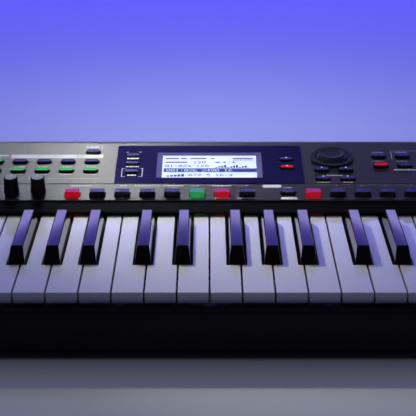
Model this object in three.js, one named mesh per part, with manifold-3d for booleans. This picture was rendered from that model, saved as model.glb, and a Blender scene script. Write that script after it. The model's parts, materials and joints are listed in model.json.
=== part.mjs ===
// A 61-key music workstation: a slim case with a sloping control panel, a display, a dial, knobs,
// strips of buttons, a joystick and five octaves of moulded keys.
// Millimetres, +X to the player's right, +Y to the rear, +Z up. The origin is under the centre of
// the case, on the surface that the rubber feet stand on.
import * as THREE from "three";
import { mergeVertices } from "three/addons/utils/BufferGeometryUtils.js";
import Module from "manifold-3d";

const wasm = await Module();
wasm.setup();

// Case
const CASE_WIDTH = 1037;
const CASE_DEPTH = 296;
const FOOT_HEIGHT = 5;
const WALL = 3;
const PARTING_Z = 44; // the silver upper case meets the black lower case here
const GAP = 0.3; // between neighbouring pieces that touch on the real object
const HALF_W = CASE_WIDTH / 2;
const HALF_D = CASE_DEPTH / 2;
const FLOOR_Z = FOOT_HEIGHT + WALL; // inside of the bottom plate

// Keyboard
const KEY_PITCH = 23.5; // white key to white key: an octave spans 164.5
const OCTAVE = 7 * KEY_PITCH;
const OCTAVES = 5;
const WHITE_LEFT_OF_CENTRE = 17; // the gap between E and F of the third octave is at X = 0
const KEY_TOP_Z = 48;
const KEY_FRONT_Y = -136.5;
const KEY_GAP = 1.2;
const KEY_VISIBLE = 147; // from the front edge to the fascia
const FASCIA_Y = KEY_FRONT_Y + KEY_VISIBLE;
const KEYS_LEFT_X = -WHITE_LEFT_OF_CENTRE * KEY_PITCH;
const KEYS_RIGHT_X = KEYS_LEFT_X + (7 * OCTAVES + 1) * KEY_PITCH;

// Control panel: a plane that rises to the rear. In its own frame x is along the case, y is the
// distance up the slope from the front edge, and z is the height above the silver surface.
const PANEL_SLOPE_DEG = 7.5;
const PANEL_TILT = THREE.MathUtils.degToRad(PANEL_SLOPE_DEG);
const PANEL_FRONT_Y = FASCIA_Y + 14.1;
const PANEL_FRONT_Z = KEY_TOP_Z + 8.6;
const PANEL_LENGTH = 105.4;
const PANEL_THICKNESS = 2.5;
const PANEL_LIP = { depth: 3.2, thickness: 1 }; // the front edge, thinned where the fascia tucks under
const GROOVE_S = 28.7; // the line between the button strip and the upper panel
const COLUMN_PITCH = 20.6;

// Each piece is one named mesh with its own material, in the group that carries it.
const workstation = new THREE.Group();
const panelFrame = new THREE.Group();
panelFrame.position.set(0, PANEL_FRONT_Y, PANEL_FRONT_Z);
panelFrame.rotation.x = PANEL_TILT;
const keyFrame = new THREE.Group();
keyFrame.position.set(KEYS_LEFT_X, KEY_FRONT_Y, KEY_TOP_Z);
workstation.add(panelFrame, keyFrame);

const finish = {
  silver: { color: 0x7d7e85, roughness: 0.42, metalness: 0.6 },
  black: { color: 0x141416, roughness: 0.45, metalness: 0 },
  fascia: { color: 0x222327, roughness: 0.55, metalness: 0 },
  navy: { color: 0x17145a, roughness: 0.15, metalness: 0 },
  whiteKey: { color: 0xeceaf0, roughness: 0.2, metalness: 0 },
  blackKey: { color: 0x0b0b0e, roughness: 0.12, metalness: 0 },
  darkButton: { color: 0x2c2b3c, roughness: 0.35, metalness: 0 },
  greenButton: { color: 0x1fae52, roughness: 0.3, metalness: 0 },
  rubber: { color: 0x101011, roughness: 0.9, metalness: 0 },
  steel: { color: 0x9a9ca0, roughness: 0.35, metalness: 0.9 },
  board: { color: 0x1c5a35, roughness: 0.6, metalness: 0 },
  lens: { color: 0xe9edf4, roughness: 0.05, metalness: 0, transparent: true, opacity: 0.3 },
  screen: { color: 0xdfe6f5, roughness: 0.4, metalness: 0 },
};

function piece(name, geometry, look, parent = workstation) {
  const mesh = new THREE.Mesh(geometry, new THREE.MeshStandardMaterial(finish[look]));
  mesh.name = name;
  parent.add(mesh);
  return mesh;
}

// Solids: closed geometries go in and out of the boolean library as plain BufferGeometries.
function solidOf(geometry) {
  const flat = geometry.index ? geometry.toNonIndexed() : geometry.clone();
  const bare = new THREE.BufferGeometry().setAttribute("position", flat.getAttribute("position"));
  const merged = mergeVertices(bare, 1e-4);
  return new wasm.Manifold(
    new wasm.Mesh({
      numProp: 3,
      vertProperties: merged.attributes.position.array,
      triVerts: new Uint32Array(merged.index.array),
    }),
  );
}

function geometryOf(solid) {
  const mesh = solid.getMesh();
  const geometry = new THREE.BufferGeometry();
  geometry.setAttribute("position", new THREE.BufferAttribute(mesh.vertProperties, 3));
  geometry.setIndex(new THREE.BufferAttribute(mesh.triVerts, 1));
  geometry.computeVertexNormals();
  return geometry;
}

function join(...geometries) {
  return geometryOf(geometries.map(solidOf).reduce((all, next) => all.add(next)));
}

function cut(geometry, ...tools) {
  return geometryOf(tools.map(solidOf).reduce((left, tool) => left.subtract(tool), solidOf(geometry)));
}

// Shapes
function box(x0, x1, y0, y1, z0, z1) {
  const geometry = new THREE.BoxGeometry(x1 - x0, y1 - y0, z1 - z0);
  return geometry.translate((x0 + x1) / 2, (y0 + y1) / 2, (z0 + z1) / 2);
}

function outline(points) {
  return new THREE.Shape(points.map(([a, b]) => new THREE.Vector2(a, b)));
}

// An outline of [x, y] points raised from z0 to z1.
function plate(points, z0, z1) {
  const geometry = new THREE.ExtrudeGeometry(outline(points), { depth: z1 - z0, bevelEnabled: false });
  return geometry.translate(0, 0, z0);
}

// A side profile of [y, z] points run along X from x0 to x1.
function runAlongX(points, x0, x1) {
  const geometry = new THREE.ExtrudeGeometry(outline(points), { depth: x1 - x0, bevelEnabled: false });
  const turn = new THREE.Matrix4().set(0, 0, 1, x0, 1, 0, 0, 0, 0, 1, 0, 0, 0, 0, 0, 1);
  return geometry.applyMatrix4(turn);
}

// A profile of [radius, z] points turned about an upright axis through (x, y).
function turned(points, x, y, segments) {
  const profile = points.map(([r, z]) => new THREE.Vector2(r, z));
  return new THREE.LatheGeometry(profile, segments).rotateX(Math.PI / 2).translate(x, y, 0);
}

function disc(x, y, radius, z0, z1, segments = 16) {
  return turned([[0, z0], [radius, z0], [radius, z1], [0, z1]], x, y, segments);
}

// A closed skin through rings that all have the same number of points, capped at both ends.
function loft(rings) {
  const count = rings[0].length;
  const triangles = [];
  const add = (a, b, c) => triangles.push(...a, ...b, ...c);
  for (let i = 0; i + 1 < rings.length; i++) {
    for (let j = 0; j < count; j++) {
      const k = (j + 1) % count;
      add(rings[i][j], rings[i][k], rings[i + 1][k]);
      add(rings[i][j], rings[i + 1][k], rings[i + 1][j]);
    }
  }
  const first = rings[0];
  const last = rings[rings.length - 1];
  for (let j = 1; j + 1 < count; j++) {
    add(first[0], first[j + 1], first[j]);
    add(last[0], last[j], last[j + 1]);
  }
  return new THREE.BufferGeometry().setAttribute(
    "position",
    new THREE.BufferAttribute(new Float32Array(triangles), 3),
  );
}

// A rectangle with cut corners, centred on (x, y), as a ring at height z.
function cutCornerRing(x, y, width, depth, corner, z) {
  const a = width / 2;
  const b = depth / 2;
  return [
    [-a + corner, -b], [a - corner, -b], [a, -b + corner], [a, b - corner],
    [a - corner, b], [-a + corner, b], [-a, b - corner], [-a, -b + corner],
  ].map(([dx, dy]) => [x + dx, y + dy, z]);
}

function arc(centreY, centreZ, radius, fromDeg, toDeg, steps) {
  return Array.from({ length: steps + 1 }, (_, i) => {
    const angle = THREE.MathUtils.degToRad(fromDeg + ((toDeg - fromDeg) * i) / steps);
    return [centreY + radius * Math.cos(angle), centreZ + radius * Math.sin(angle)];
  });
}

// A world [y, z] point in the panel's frame.
function toPanel([y, z]) {
  const dy = y - PANEL_FRONT_Y;
  const dz = z - PANEL_FRONT_Z;
  const c = Math.cos(PANEL_TILT);
  const s = Math.sin(PANEL_TILT);
  return [dy * c + dz * s, dz * c - dy * s];
}

// Buttons: every moulded strip is a carrier under the panel with caps that stand up through it.
const columns = (first, count, pitch = COLUMN_PITCH) =>
  Array.from({ length: count }, (_, i) => first + i * pitch);
const grid = (xs, ys) => ys.flatMap((y) => xs.map((x) => [x, y]));
const SMALL_CAP = { width: 12, depth: 5.7, height: 2.2, corner: 1.7, hole: 0.5, tall: false };
const DISPLAY_CAP = { width: 11.3, depth: 4.8, height: 2, corner: 1.4, hole: 0.4, tall: false };
const TALL_CAP = { width: 11.8, depth: 7, height: 4.5, corner: 0, hole: 0.6, tall: true };
const STRIP_ROW_S = 9.4;
const strips = {
  pattern_buttons: { cap: TALL_CAP, at: grid(columns(-113.1, 8), [STRIP_ROW_S]) },
  memory_buttons: { cap: TALL_CAP, at: grid(columns(85.8, 8, 20.4), [STRIP_ROW_S]) },
  bank_button: { cap: SMALL_CAP, at: [[65.2, 12.5]] },
  part_buttons: { cap: SMALL_CAP, at: grid(columns(-163.2, 4), [52, 68.9]) },
  group_buttons: { cap: SMALL_CAP, at: grid(columns(-245.7, 4), [52, 68.9]) },
  tap_button: { cap: SMALL_CAP, at: [[-101.5, 87.3]] },
  menu_buttons: { cap: DISPLAY_CAP, at: grid([-66.3], [49.7, 64.9, 80.1]), inDisplay: true },
  page_buttons: { cap: DISPLAY_CAP, at: grid([66.4], [57.4, 72.6]), inDisplay: true },
  cursor_buttons: { cap: SMALL_CAP, at: grid([95.9, 116.6], [37.1, 53.4]) },
  song_buttons: { cap: SMALL_CAP, at: grid(columns(147.4, 4), [61.2, 79.2]) },
  power_button: { cap: SMALL_CAP, at: [[-488, 80]] },
};
const CARRIER_TOP = -4.2;
const CARRIER_BOTTOM = -5.8;

function smallCap([x, y], cap) {
  const ring = (shrink, z) =>
    cutCornerRing(x, y, cap.width - 2 * shrink, cap.depth - 2 * shrink, cap.corner, z);
  return loft([
    ring(0, CARRIER_BOTTOM + 0.5),
    ring(0, cap.height - 0.8),
    ring(0.7, cap.height),
  ]);
}

// The tall cap has a steep front, and its finger face falls a little to the rear.
function tallCap([x, y], cap) {
  const front = y - cap.depth / 2;
  const rear = y + cap.depth / 2;
  const profile = [
    [front, CARRIER_BOTTOM + 0.5], [rear, CARRIER_BOTTOM + 0.5], [rear, cap.height - 1],
    [rear - 0.5, cap.height - 0.5], [front + 0.8, cap.height], [front + 0.4, cap.height - 0.4],
    [front, 0.4],
  ];
  return runAlongX(profile, x - cap.width / 2, x + cap.width / 2);
}

function buttonStrip({ cap, at }) {
  const xs = at.map(([x]) => x);
  const ys = at.map(([, y]) => y);
  const rim = 0.8;
  const carrier = box(
    Math.min(...xs) - cap.width / 2 - rim, Math.max(...xs) + cap.width / 2 + rim,
    Math.min(...ys) - cap.depth / 2 - rim, Math.max(...ys) + cap.depth / 2 + rim,
    CARRIER_BOTTOM, CARRIER_TOP,
  );
  const caps = at.map((place) => (cap.tall ? tallCap(place, cap) : smallCap(place, cap)));
  return join(carrier, ...caps);
}

function buttonHole([x, y], cap) {
  const halfWidth = cap.width / 2 + cap.hole;
  const halfDepth = cap.depth / 2 + cap.hole;
  return box(x - halfWidth, x + halfWidth, y - halfDepth, y + halfDepth, -9, 9);
}

const holesOf = (inDisplay) =>
  Object.values(strips)
    .filter((strip) => Boolean(strip.inDisplay) === inDisplay)
    .flatMap(({ cap, at }) => at.map((place) => buttonHole(place, cap)));

// Knobs and dial, each on its own shaft through the panel.
const KNOB_S = 12.3;
const KNOB_HEIGHT = 15.5;
const KNOBS = columns(-207.5, 4, 22).map((x, i) => ({ name: `control_knob_${i + 1}`, x }));
const VOLUME = { x: -440, s: 60, height: 9 };
const DIAL = { x: 106.4, s: 77.6, radius: 18.9 };
const SHAFT_RADIUS = 3;
const SHAFT_HOLE = 3.6;
const SHAFT_END = -6.3;

function knob(x, s, topRadius, footRadius, height, segments = 16) {
  const body = turned(
    [
      [0, SHAFT_END], [SHAFT_RADIUS, SHAFT_END], [SHAFT_RADIUS, 1], [footRadius, 1],
      [footRadius, 2.2], [topRadius + 0.35, 4.5], [topRadius, height - 0.6],
      [topRadius - 0.6, height], [0, height],
    ],
    x, s, segments,
  );
  const pointer = box(x - 0.4, x + 0.4, s + 1.2, s + topRadius + 1, height - 0.4, height + 1);
  return cut(body, pointer);
}

// Case pieces
const DISPLAY = { halfWidth: 79.9, s0: GROOVE_S + 1.3, s1: 100.6, top: 0.3, underside: -1.3 };
const WINDOW = { halfWidth: 45.2, s0: 39.7, s1: 87.3, side: 4.7, front: 0.2, rear: 2.5, depth: 1.3 };

// The panel runs over a quarter-round crown into the rear wall.
function topPanel() {
  const c = Math.cos(PANEL_TILT);
  const s = Math.sin(PANEL_TILT);
  const onPanel = (along, below) => [
    PANEL_FRONT_Y + along * c + below * s, PANEL_FRONT_Z + along * s - below * c,
  ];
  const [brinkY, brinkZ] = onPanel(PANEL_LENGTH, 0);
  const radius = (HALF_D - brinkY) / (1 + s);
  const crown = (r) => arc(HALF_D - radius, brinkZ - radius * c, r, 90 + PANEL_SLOPE_DEG, 0, 7);
  const skin = [[PANEL_FRONT_Y, PANEL_FRONT_Z], ...crown(radius), [HALF_D, PARTING_Z + GAP]];
  const shell = [
    ...skin, [HALF_D - PANEL_THICKNESS, PARTING_Z + GAP], ...crown(radius - PANEL_THICKNESS).reverse(),
    onPanel(PANEL_LIP.depth, PANEL_THICKNESS), onPanel(PANEL_LIP.depth, PANEL_LIP.thickness),
    onPanel(0, PANEL_LIP.thickness),
  ].map(toPanel);
  const end = [
    ...skin, [FASCIA_Y, PARTING_Z + GAP], [FASCIA_Y, KEY_TOP_Z + 3.4], [FASCIA_Y + 0.6, KEY_TOP_Z + 4],
  ].map(toPanel);
  const body = join(
    runAlongX(shell, -HALF_W, HALF_W),
    runAlongX(end, -HALF_W, -HALF_W + WALL),
    runAlongX(end, HALF_W - WALL, HALF_W),
  );
  const groove = box(-HALF_W - 1, HALF_W + 1, GROOVE_S - 0.6, GROOVE_S + 0.6, -1.1, 1);
  const displayHole = box(
    -DISPLAY.halfWidth - GAP, DISPLAY.halfWidth + GAP, DISPLAY.s0 - GAP, DISPLAY.s1 + GAP, -9, 9,
  );
  const shaftHoles = [
    ...KNOBS.map(({ x }) => disc(x, KNOB_S, SHAFT_HOLE, -9, 9, 12)),
    disc(VOLUME.x, VOLUME.s, SHAFT_HOLE, -9, 9, 12),
    disc(DIAL.x, DIAL.s, SHAFT_HOLE, -9, 9, 12),
  ];
  return cut(body, groove, displayHole, ...shaftHoles, ...holesOf(false));
}

function displayPanel() {
  const { halfWidth, s0, s1, side, front, rear, depth } = WINDOW;
  const { top, underside } = DISPLAY;
  const ring = (shrink, z) => [
    [-halfWidth + side * shrink, s0 + front * shrink, z], [halfWidth - side * shrink, s0 + front * shrink, z],
    [halfWidth - side * shrink, s1 - rear * shrink, z], [-halfWidth + side * shrink, s1 - rear * shrink, z],
  ];
  const bevelled = loft([ring(1, underside - 1), ring(1, top - depth), ring(0, top), ring(0, top + 1)]);
  const body = box(-DISPLAY.halfWidth, DISPLAY.halfWidth, DISPLAY.s0, DISPLAY.s1, underside, top);
  return cut(body, bevelled, ...holesOf(true));
}

// Side profile of the black tray: bottom plate, rear wall and a low front edge.
function lowerCase() {
  const tray = [
    [-HALF_D + 6, FOOT_HEIGHT], [HALF_D - 8, FOOT_HEIGHT], [HALF_D, FOOT_HEIGHT + 8],
    [HALF_D, PARTING_Z], [HALF_D - WALL, PARTING_Z], [HALF_D - WALL, FOOT_HEIGHT + 9.2],
    [HALF_D - 9.2, FLOOR_Z], [-HALF_D + 4, FLOOR_Z],
  ];
  const side = [
    [FASCIA_Y, FLOOR_Z - 1], [HALF_D - 6, FLOOR_Z - 1], [HALF_D - 1, FOOT_HEIGHT + 9],
    [HALF_D - 1, PARTING_Z], [FASCIA_Y, PARTING_Z],
  ];
  const ribs = [-300, -100, 100, 300].map((x) => box(x - 1, x + 1, 86, HALF_D - 2, FLOOR_Z - 1, 15));
  const body = join(
    runAlongX(tray, -HALF_W, HALF_W),
    runAlongX(side, -HALF_W, -HALF_W + WALL),
    runAlongX(side, HALF_W - WALL, HALF_W),
    ...ribs,
  );
  const sockets = [
    ...JACKS.map(({ x }) => rearHole(x, JACK_Z, JACK_COLLAR + GAP)),
    rearHole(INLET_X, JACK_Z, INLET_COLLAR + GAP),
    box(USB_X - 6.6, USB_X + 6.6, HALF_D - 6, HALF_D + 2, JACK_Z - 6, JACK_Z + 6),
  ];
  return cut(body, ...sockets);
}

// Rear connectors
const JACK_Z = 26;
const JACK_COLLAR = 5.5;
const JACK_BORE = 3.4;
const INLET_X = 268;
const INLET_COLLAR = 5;
const USB_X = 236;
const JACKS = [
  { name: "jack_headphones", x: -60 },
  { name: "jack_line_left", x: 40 },
  { name: "jack_line_right", x: 64 },
  { name: "jack_damper_pedal", x: 120 },
  { name: "jack_foot_switch", x: 144 },
];

// A round rod along Y, from y0 to y1.
function rodAlongY(x, z, radius, y0, y1, segments = 12) {
  const rod = new THREE.CylinderGeometry(radius, radius, y1 - y0, segments);
  return rod.translate(x, (y0 + y1) / 2, z);
}

const rearHole = (x, z, radius) => rodAlongY(x, z, radius, HALF_D - 8, HALF_D + 2, 12);

function phoneJack(x) {
  const body = box(x - 8, x + 8, HALF_D - 26, HALF_D - WALL - GAP, JACK_Z - 8, JACK_Z + 8);
  const collar = rodAlongY(x, JACK_Z, JACK_COLLAR, HALF_D - WALL - 1, HALF_D, 12);
  const bore = rodAlongY(x, JACK_Z, JACK_BORE, HALF_D - 23, HALF_D + 1, 8);
  return cut(join(body, collar), bore);
}

function powerInlet() {
  const body = box(INLET_X - 6, INLET_X + 6, HALF_D - 16, HALF_D - WALL - GAP, JACK_Z - 7, JACK_Z + 6);
  const collar = rodAlongY(INLET_X, JACK_Z, INLET_COLLAR, HALF_D - WALL - 1, HALF_D, 12);
  const bore = rodAlongY(INLET_X, JACK_Z, 3.2, HALF_D - 13, HALF_D + 1, 12);
  const pin = rodAlongY(INLET_X, JACK_Z, 1, HALF_D - 14, HALF_D - 2, 8);
  return join(cut(join(body, collar), bore), pin);
}

function usbPort() {
  const [x, z] = [USB_X, JACK_Z];
  const body = box(x - 6, x + 6, HALF_D - 17, HALF_D - 0.5, z - 5.4, z + 5.4);
  const mouth = box(x - 4.3, x + 4.3, HALF_D - 12, HALF_D + 1, z - 3.9, z + 3.9);
  const tongue = box(x - 2.8, x + 2.8, HALF_D - 13, HALF_D - 3, z - 1.6, z + 1.6);
  return join(cut(body, mouth), tongue);
}

// End blocks beside the keys, hollow and open below.
const BLOCK_TOP_Z = 52;

function endBlock(x0, x1, wells) {
  const rear = FASCIA_Y - GAP;
  const nose = (y, z, r) => arc(y + r, z - r, r, 180, 90, 4);
  const outer = [
    [-HALF_D, FLOOR_Z + GAP], ...nose(-HALF_D, BLOCK_TOP_Z, 7),
    [rear, BLOCK_TOP_Z], [rear, FLOOR_Z + GAP],
  ].reverse();
  const inner = [
    [-HALF_D + WALL, FLOOR_Z - 1], ...nose(-HALF_D + WALL, BLOCK_TOP_Z - WALL, 4.5),
    [rear - WALL, BLOCK_TOP_Z - WALL], [rear - WALL, FLOOR_Z - 1],
  ].reverse();
  return cut(runAlongX(outer, x0, x1), runAlongX(inner, x0 + WALL, x1 - WALL), ...wells);
}

// The key slip: a ledge in front of the keys and the case's front face.
function frontRail() {
  const back = KEY_FRONT_Y - 1;
  const ledge = KEY_TOP_Z - 10;
  const outer = [
    [-HALF_D, FLOOR_Z + GAP], [back, FLOOR_Z + GAP], [back, ledge],
    ...arc(-HALF_D + 3, ledge - 3, 3, 90, 180, 4),
  ];
  const hollow = [
    [-HALF_D + WALL, FLOOR_Z - 1], [back - WALL, FLOOR_Z - 1],
    [back - WALL, ledge - WALL], [-HALF_D + WALL, ledge - WALL - 1],
  ];
  const [x0, x1] = [KEYS_LEFT_X - 0.6, KEYS_RIGHT_X + 0.6];
  return cut(runAlongX(outer, x0, x1), runAlongX(hollow, x0 + WALL, x1 - WALL));
}

// The fascia slopes from a low lip over the keys up to the panel, and tucks under the panel's edge.
function keyFascia() {
  const low = KEY_TOP_Z + 2;
  const high = PANEL_FRONT_Z - PANEL_LIP.thickness - 0.4;
  const rear = PANEL_FRONT_Y + PANEL_LIP.depth - 0.5;
  const profile = [
    [FASCIA_Y, low + 0.6], [FASCIA_Y + 0.6, low], [FASCIA_Y + 3.6, low], [rear, high - 2],
    [rear, high + 0.3], [PANEL_FRONT_Y, high], [FASCIA_Y + 0.7, low + 1.8], [FASCIA_Y, low + 1.3],
  ];
  return runAlongX(profile, -HALF_W + WALL + GAP, HALF_W - WALL - GAP);
}

// Keybed. In the keys' frame x starts at the lowest key's left edge, y at the keys' front edge
// and z at the white keys' top.
const BLACK_CENTRES = [20.8, 50.3, 90.9, 117.4, 144.4]; // from the left edge of C
const NOTCH_HALF = 7.6;
const NOTCH_Y = 49.4;
const BLACK_FRONT_Y = 50.3;
const BLACK_REAR_Y = 134.5;
const BLACK_HEIGHT = 12;
const BLACK_BASE = 12.6;
const BLACK_TOP = 9;
const SKIRT = 8.8;
const KEY_SKIN = 2;
const SIDE_SKIN = 1.6;
const TAIL_END_Y = 165;
const BAR = { low: -9, high: -5.2, depth: 8 };
const WHITE_C_E_G_B = { notes: [0, 2, 4, 6], barY: 176, stripZ: -3.2 };
const WHITE_D_F_A = { notes: [1, 3, 5], barY: 188, stripZ: -3.2 };
const BLACK_KEYS = { barY: 200, stripZ: -1.6 };
const STRIP = { width: 7, thickness: 1.3 };

// The tail between the black keys of the white note 0 to 6, as [left, right] from C's left edge.
function tailOf(note) {
  const left = note * KEY_PITCH + KEY_GAP / 2;
  const right = (note + 1) * KEY_PITCH - KEY_GAP / 2;
  const notches = BLACK_CENTRES.map((c) => [c - NOTCH_HALF, c + NOTCH_HALF]);
  const cutsLeft = notches.filter(([a, b]) => a < left && b > left).map(([, b]) => b);
  const cutsRight = notches.filter(([a, b]) => a < right && b > right).map(([a]) => a);
  return [Math.max(left, ...cutsLeft), Math.min(right, ...cutsRight)];
}

// An outline without the points that repeat or lie on a straight side.
function cornersOf(plan) {
  const neighbours = (list, i) => [list[(i + list.length - 1) % list.length], list[(i + 1) % list.length]];
  const distinct = plan.filter(([x, y], i) => {
    const [, [nx, ny]] = neighbours(plan, i);
    return Math.hypot(x - nx, y - ny) > 0.01;
  });
  return distinct.filter(([x, y], i) => {
    const [[ax, ay], [bx, by]] = neighbours(distinct, i);
    return Math.abs((x - ax) * (by - y) - (y - ay) * (bx - x)) > 0.01;
  });
}

// A hollow white key: a thin top with skirts, notched beside the black keys, chamfered in front.
function whiteKey(x, note, whole) {
  const left = x + note * KEY_PITCH + KEY_GAP / 2;
  const right = x + (note + 1) * KEY_PITCH - KEY_GAP / 2;
  const [a, b] = whole ? [left, right] : tailOf(note).map((t) => x + t);
  const corners = cornersOf([
    [left, 0], [right, 0], [right, NOTCH_Y], [b, NOTCH_Y],
    [b, TAIL_END_Y], [a, TAIL_END_Y], [a, NOTCH_Y], [left, NOTCH_Y],
  ]);
  const chamfer = runAlongX([[-1, -1], [0, -1], [1, 0], [1, 1], [-1, 1]], left - 1, right + 1);
  const pocket = cornersOf([
    [left + SIDE_SKIN, KEY_SKIN], [right - SIDE_SKIN, KEY_SKIN], [right - SIDE_SKIN, NOTCH_Y - SIDE_SKIN],
    [b - SIDE_SKIN, NOTCH_Y - SIDE_SKIN], [b - SIDE_SKIN, TAIL_END_Y - KEY_SKIN],
    [a + SIDE_SKIN, TAIL_END_Y - KEY_SKIN], [a + SIDE_SKIN, NOTCH_Y - SIDE_SKIN],
    [left + SIDE_SKIN, NOTCH_Y - SIDE_SKIN],
  ]);
  return cut(plate(corners, -SKIRT, 0), chamfer, plate(pocket, -SKIRT - 1, -KEY_SKIN));
}

// A black key: sides that lean in, a sloping front, rounded shoulders and a low tail.
function blackKey(x) {
  const base = -5;
  const lean = (BLACK_BASE - BLACK_TOP) / 2 / BLACK_HEIGHT;
  const halfAt = (z) => BLACK_BASE / 2 - lean * z;
  const ring = (y, top) => {
    const shoulder = top - 1.1;
    return [
      [x - halfAt(base), y, base], [x + halfAt(base), y, base], [x + halfAt(shoulder), y, shoulder],
      [x + halfAt(top) - 0.9, y, top], [x - halfAt(top) + 0.9, y, top], [x - halfAt(shoulder), y, shoulder],
    ];
  };
  const raised = loft([
    ring(BLACK_FRONT_Y, 0.2), ring(BLACK_FRONT_Y + 6.6, BLACK_HEIGHT - 0.9),
    ring(BLACK_FRONT_Y + 8.6, BLACK_HEIGHT), ring(BLACK_REAR_Y - 3.5, BLACK_HEIGHT - 0.3),
    ring(BLACK_REAR_Y, BLACK_HEIGHT - 3.6),
  ].reverse());
  const half = BLACK_BASE / 2;
  const tail = box(x - half, x + half, BLACK_REAR_Y - 2, TAIL_END_Y, base, -1);
  const pocket = box(
    x - half + SIDE_SKIN, x + half - SIDE_SKIN, BLACK_FRONT_Y + 8, TAIL_END_Y - KEY_SKIN, base - 1, -1 - KEY_SKIN,
  );
  return cut(join(raised, tail), pocket);
}

// The thin strip that a key bends on, and the bar that carries all the keys of one moulding.
function hingeStrip(x, { barY, stripZ }) {
  const top = stripZ + STRIP.thickness;
  const root = TAIL_END_Y - KEY_SKIN + 0.5;
  const profile = [
    [root, -4.5], [TAIL_END_Y - 0.5, -4.5], [TAIL_END_Y - 0.5, stripZ], [barY + 1, stripZ],
    [barY + 1, BAR.high - 1], [barY + BAR.depth - 1, BAR.high - 1], [barY + BAR.depth - 1, top], [root, top],
  ];
  return runAlongX(profile, x - STRIP.width / 2, x + STRIP.width / 2);
}

function comb(set, keys) {
  const xs = keys.map(({ hingeX }) => hingeX);
  const bar = box(
    Math.min(...xs) - STRIP.width / 2 - 1, Math.max(...xs) + STRIP.width / 2 + 1,
    set.barY, set.barY + BAR.depth, BAR.low, BAR.high,
  );
  const parts = keys.flatMap(({ solid, hingeX }) => [solid, hingeStrip(hingeX, set)]);
  return join(bar, ...parts);
}

function whiteComb(octave, set) {
  const x = octave * OCTAVE;
  const keys = set.notes.map((note) => {
    const [a, b] = tailOf(note);
    return { solid: whiteKey(x, note, false), hingeX: x + (a + b) / 2 };
  });
  return comb(set, keys);
}

function blackComb(octave) {
  const keys = BLACK_CENTRES.map((c) => {
    const x = octave * OCTAVE + c;
    return { solid: blackKey(x), hingeX: x };
  });
  return comb(BLACK_KEYS, keys);
}

for (let octave = 0; octave < OCTAVES; octave++) {
  const n = octave + 1;
  piece(`white_keys_cegb_${n}`, whiteComb(octave, WHITE_C_E_G_B), "whiteKey", keyFrame);
  piece(`white_keys_dfa_${n}`, whiteComb(octave, WHITE_D_F_A), "whiteKey", keyFrame);
  piece(`black_keys_${n}`, blackComb(octave), "blackKey", keyFrame);
}
const topC = OCTAVES * OCTAVE;
piece(
  "white_key_top_c",
  comb(WHITE_C_E_G_B, [{ solid: whiteKey(topC, 0, true), hingeX: topC + KEY_PITCH / 2 }]),
  "whiteKey",
  keyFrame,
);

// A pressed steel chassis under the keys: front upstand, floor, and the shelf that carries the bars.
function keyChassis() {
  const sheet = 1.5;
  const shelf = BAR.low - 0.8;
  const floor = 16 - KEY_TOP_Z;
  const profile = [
    [5, floor], [170, floor], [170, shelf - sheet], [212, shelf - sheet], [212, floor - 6],
    [212 + sheet, floor - 6], [212 + sheet, shelf], [170 - sheet, shelf], [170 - sheet, floor + sheet],
    [5 + sheet, floor + sheet], [5 + sheet, floor + 9], [5, floor + 9],
  ];
  const width = (7 * OCTAVES + 1) * KEY_PITCH;
  return runAlongX(profile, 2, width - 2);
}

piece("key_chassis", keyChassis(), "steel", keyFrame);
const BOARD_Z = 16 - KEY_TOP_Z + 4;
piece(
  "key_contact_board",
  join(
    box(6, KEYS_RIGHT_X - KEYS_LEFT_X - 6, 84, 122, BOARD_Z, BOARD_Z + 1.6),
    box(10, KEYS_RIGHT_X - KEYS_LEFT_X - 10, 94, 108, BOARD_Z + 1, BOARD_Z + 7),
  ),
  "board",
  keyFrame,
);

// Joystick: a dome-headed stick in a two-axis gimbal, in a black base let into the left end block.
const STICK = { x: -459.5, y: -72, z: 43 };
const STICK_FRAME = { half: 30, corner: 5, top: 1.5 };
const DOME_RADIUS = 15;
const stickFrame = new THREE.Group();
stickFrame.position.set(STICK.x, STICK.y, STICK.z);
workstation.add(stickFrame);
const rise = BLOCK_TOP_Z - STICK.z; // from the pivot to the end block's top

function rodAlongX(x0, x1, radius, segments = 10) {
  const rod = new THREE.CylinderGeometry(radius, radius, x1 - x0, segments).rotateZ(Math.PI / 2);
  return rod.translate((x0 + x1) / 2, 0, 0);
}

function joystickBase() {
  const { half, corner, top } = STICK_FRAME;
  const rim = loft([
    cutCornerRing(0, 0, 2 * half, 2 * half, corner, rise + GAP),
    cutCornerRing(0, 0, 2 * half, 2 * half, corner, rise + top - 0.6),
    cutCornerRing(0, 0, 2 * half - 1.4, 2 * half - 1.4, corner, rise + top),
  ]);
  const can = box(-24, 24, -24, 24, -22, rise + 0.6);
  const inside = box(-21.5, 21.5, -21.5, 21.5, -19.5, rise - 2);
  const mouth = disc(0, 0, 13.4, 0, rise + 3, 24);
  const posts = [-1, 1].map((side) => {
    const near = side * 17;
    const far = side * 22;
    return box(-3.5, 3.5, Math.min(near, far), Math.max(near, far), -20, 3);
  });
  const bearing = rodAlongY(0, 0, 1.5, -18.8, 18.8, 8);
  return cut(join(cut(join(rim, can), inside, mouth), ...posts), bearing);
}

function joystickGimbal() {
  const ring = cut(disc(0, 0, 11, -2.6, 2.2, 16), disc(0, 0, 7.6, -4, 4, 12));
  const pins = [-1, 1].map((side) => {
    const ends = [side * 9, side * 18.5];
    return rodAlongY(0, 0, 1.25, Math.min(...ends), Math.max(...ends), 8);
  });
  return cut(join(ring, ...pins), rodAlongX(-14, 14, 1.5, 8));
}

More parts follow.
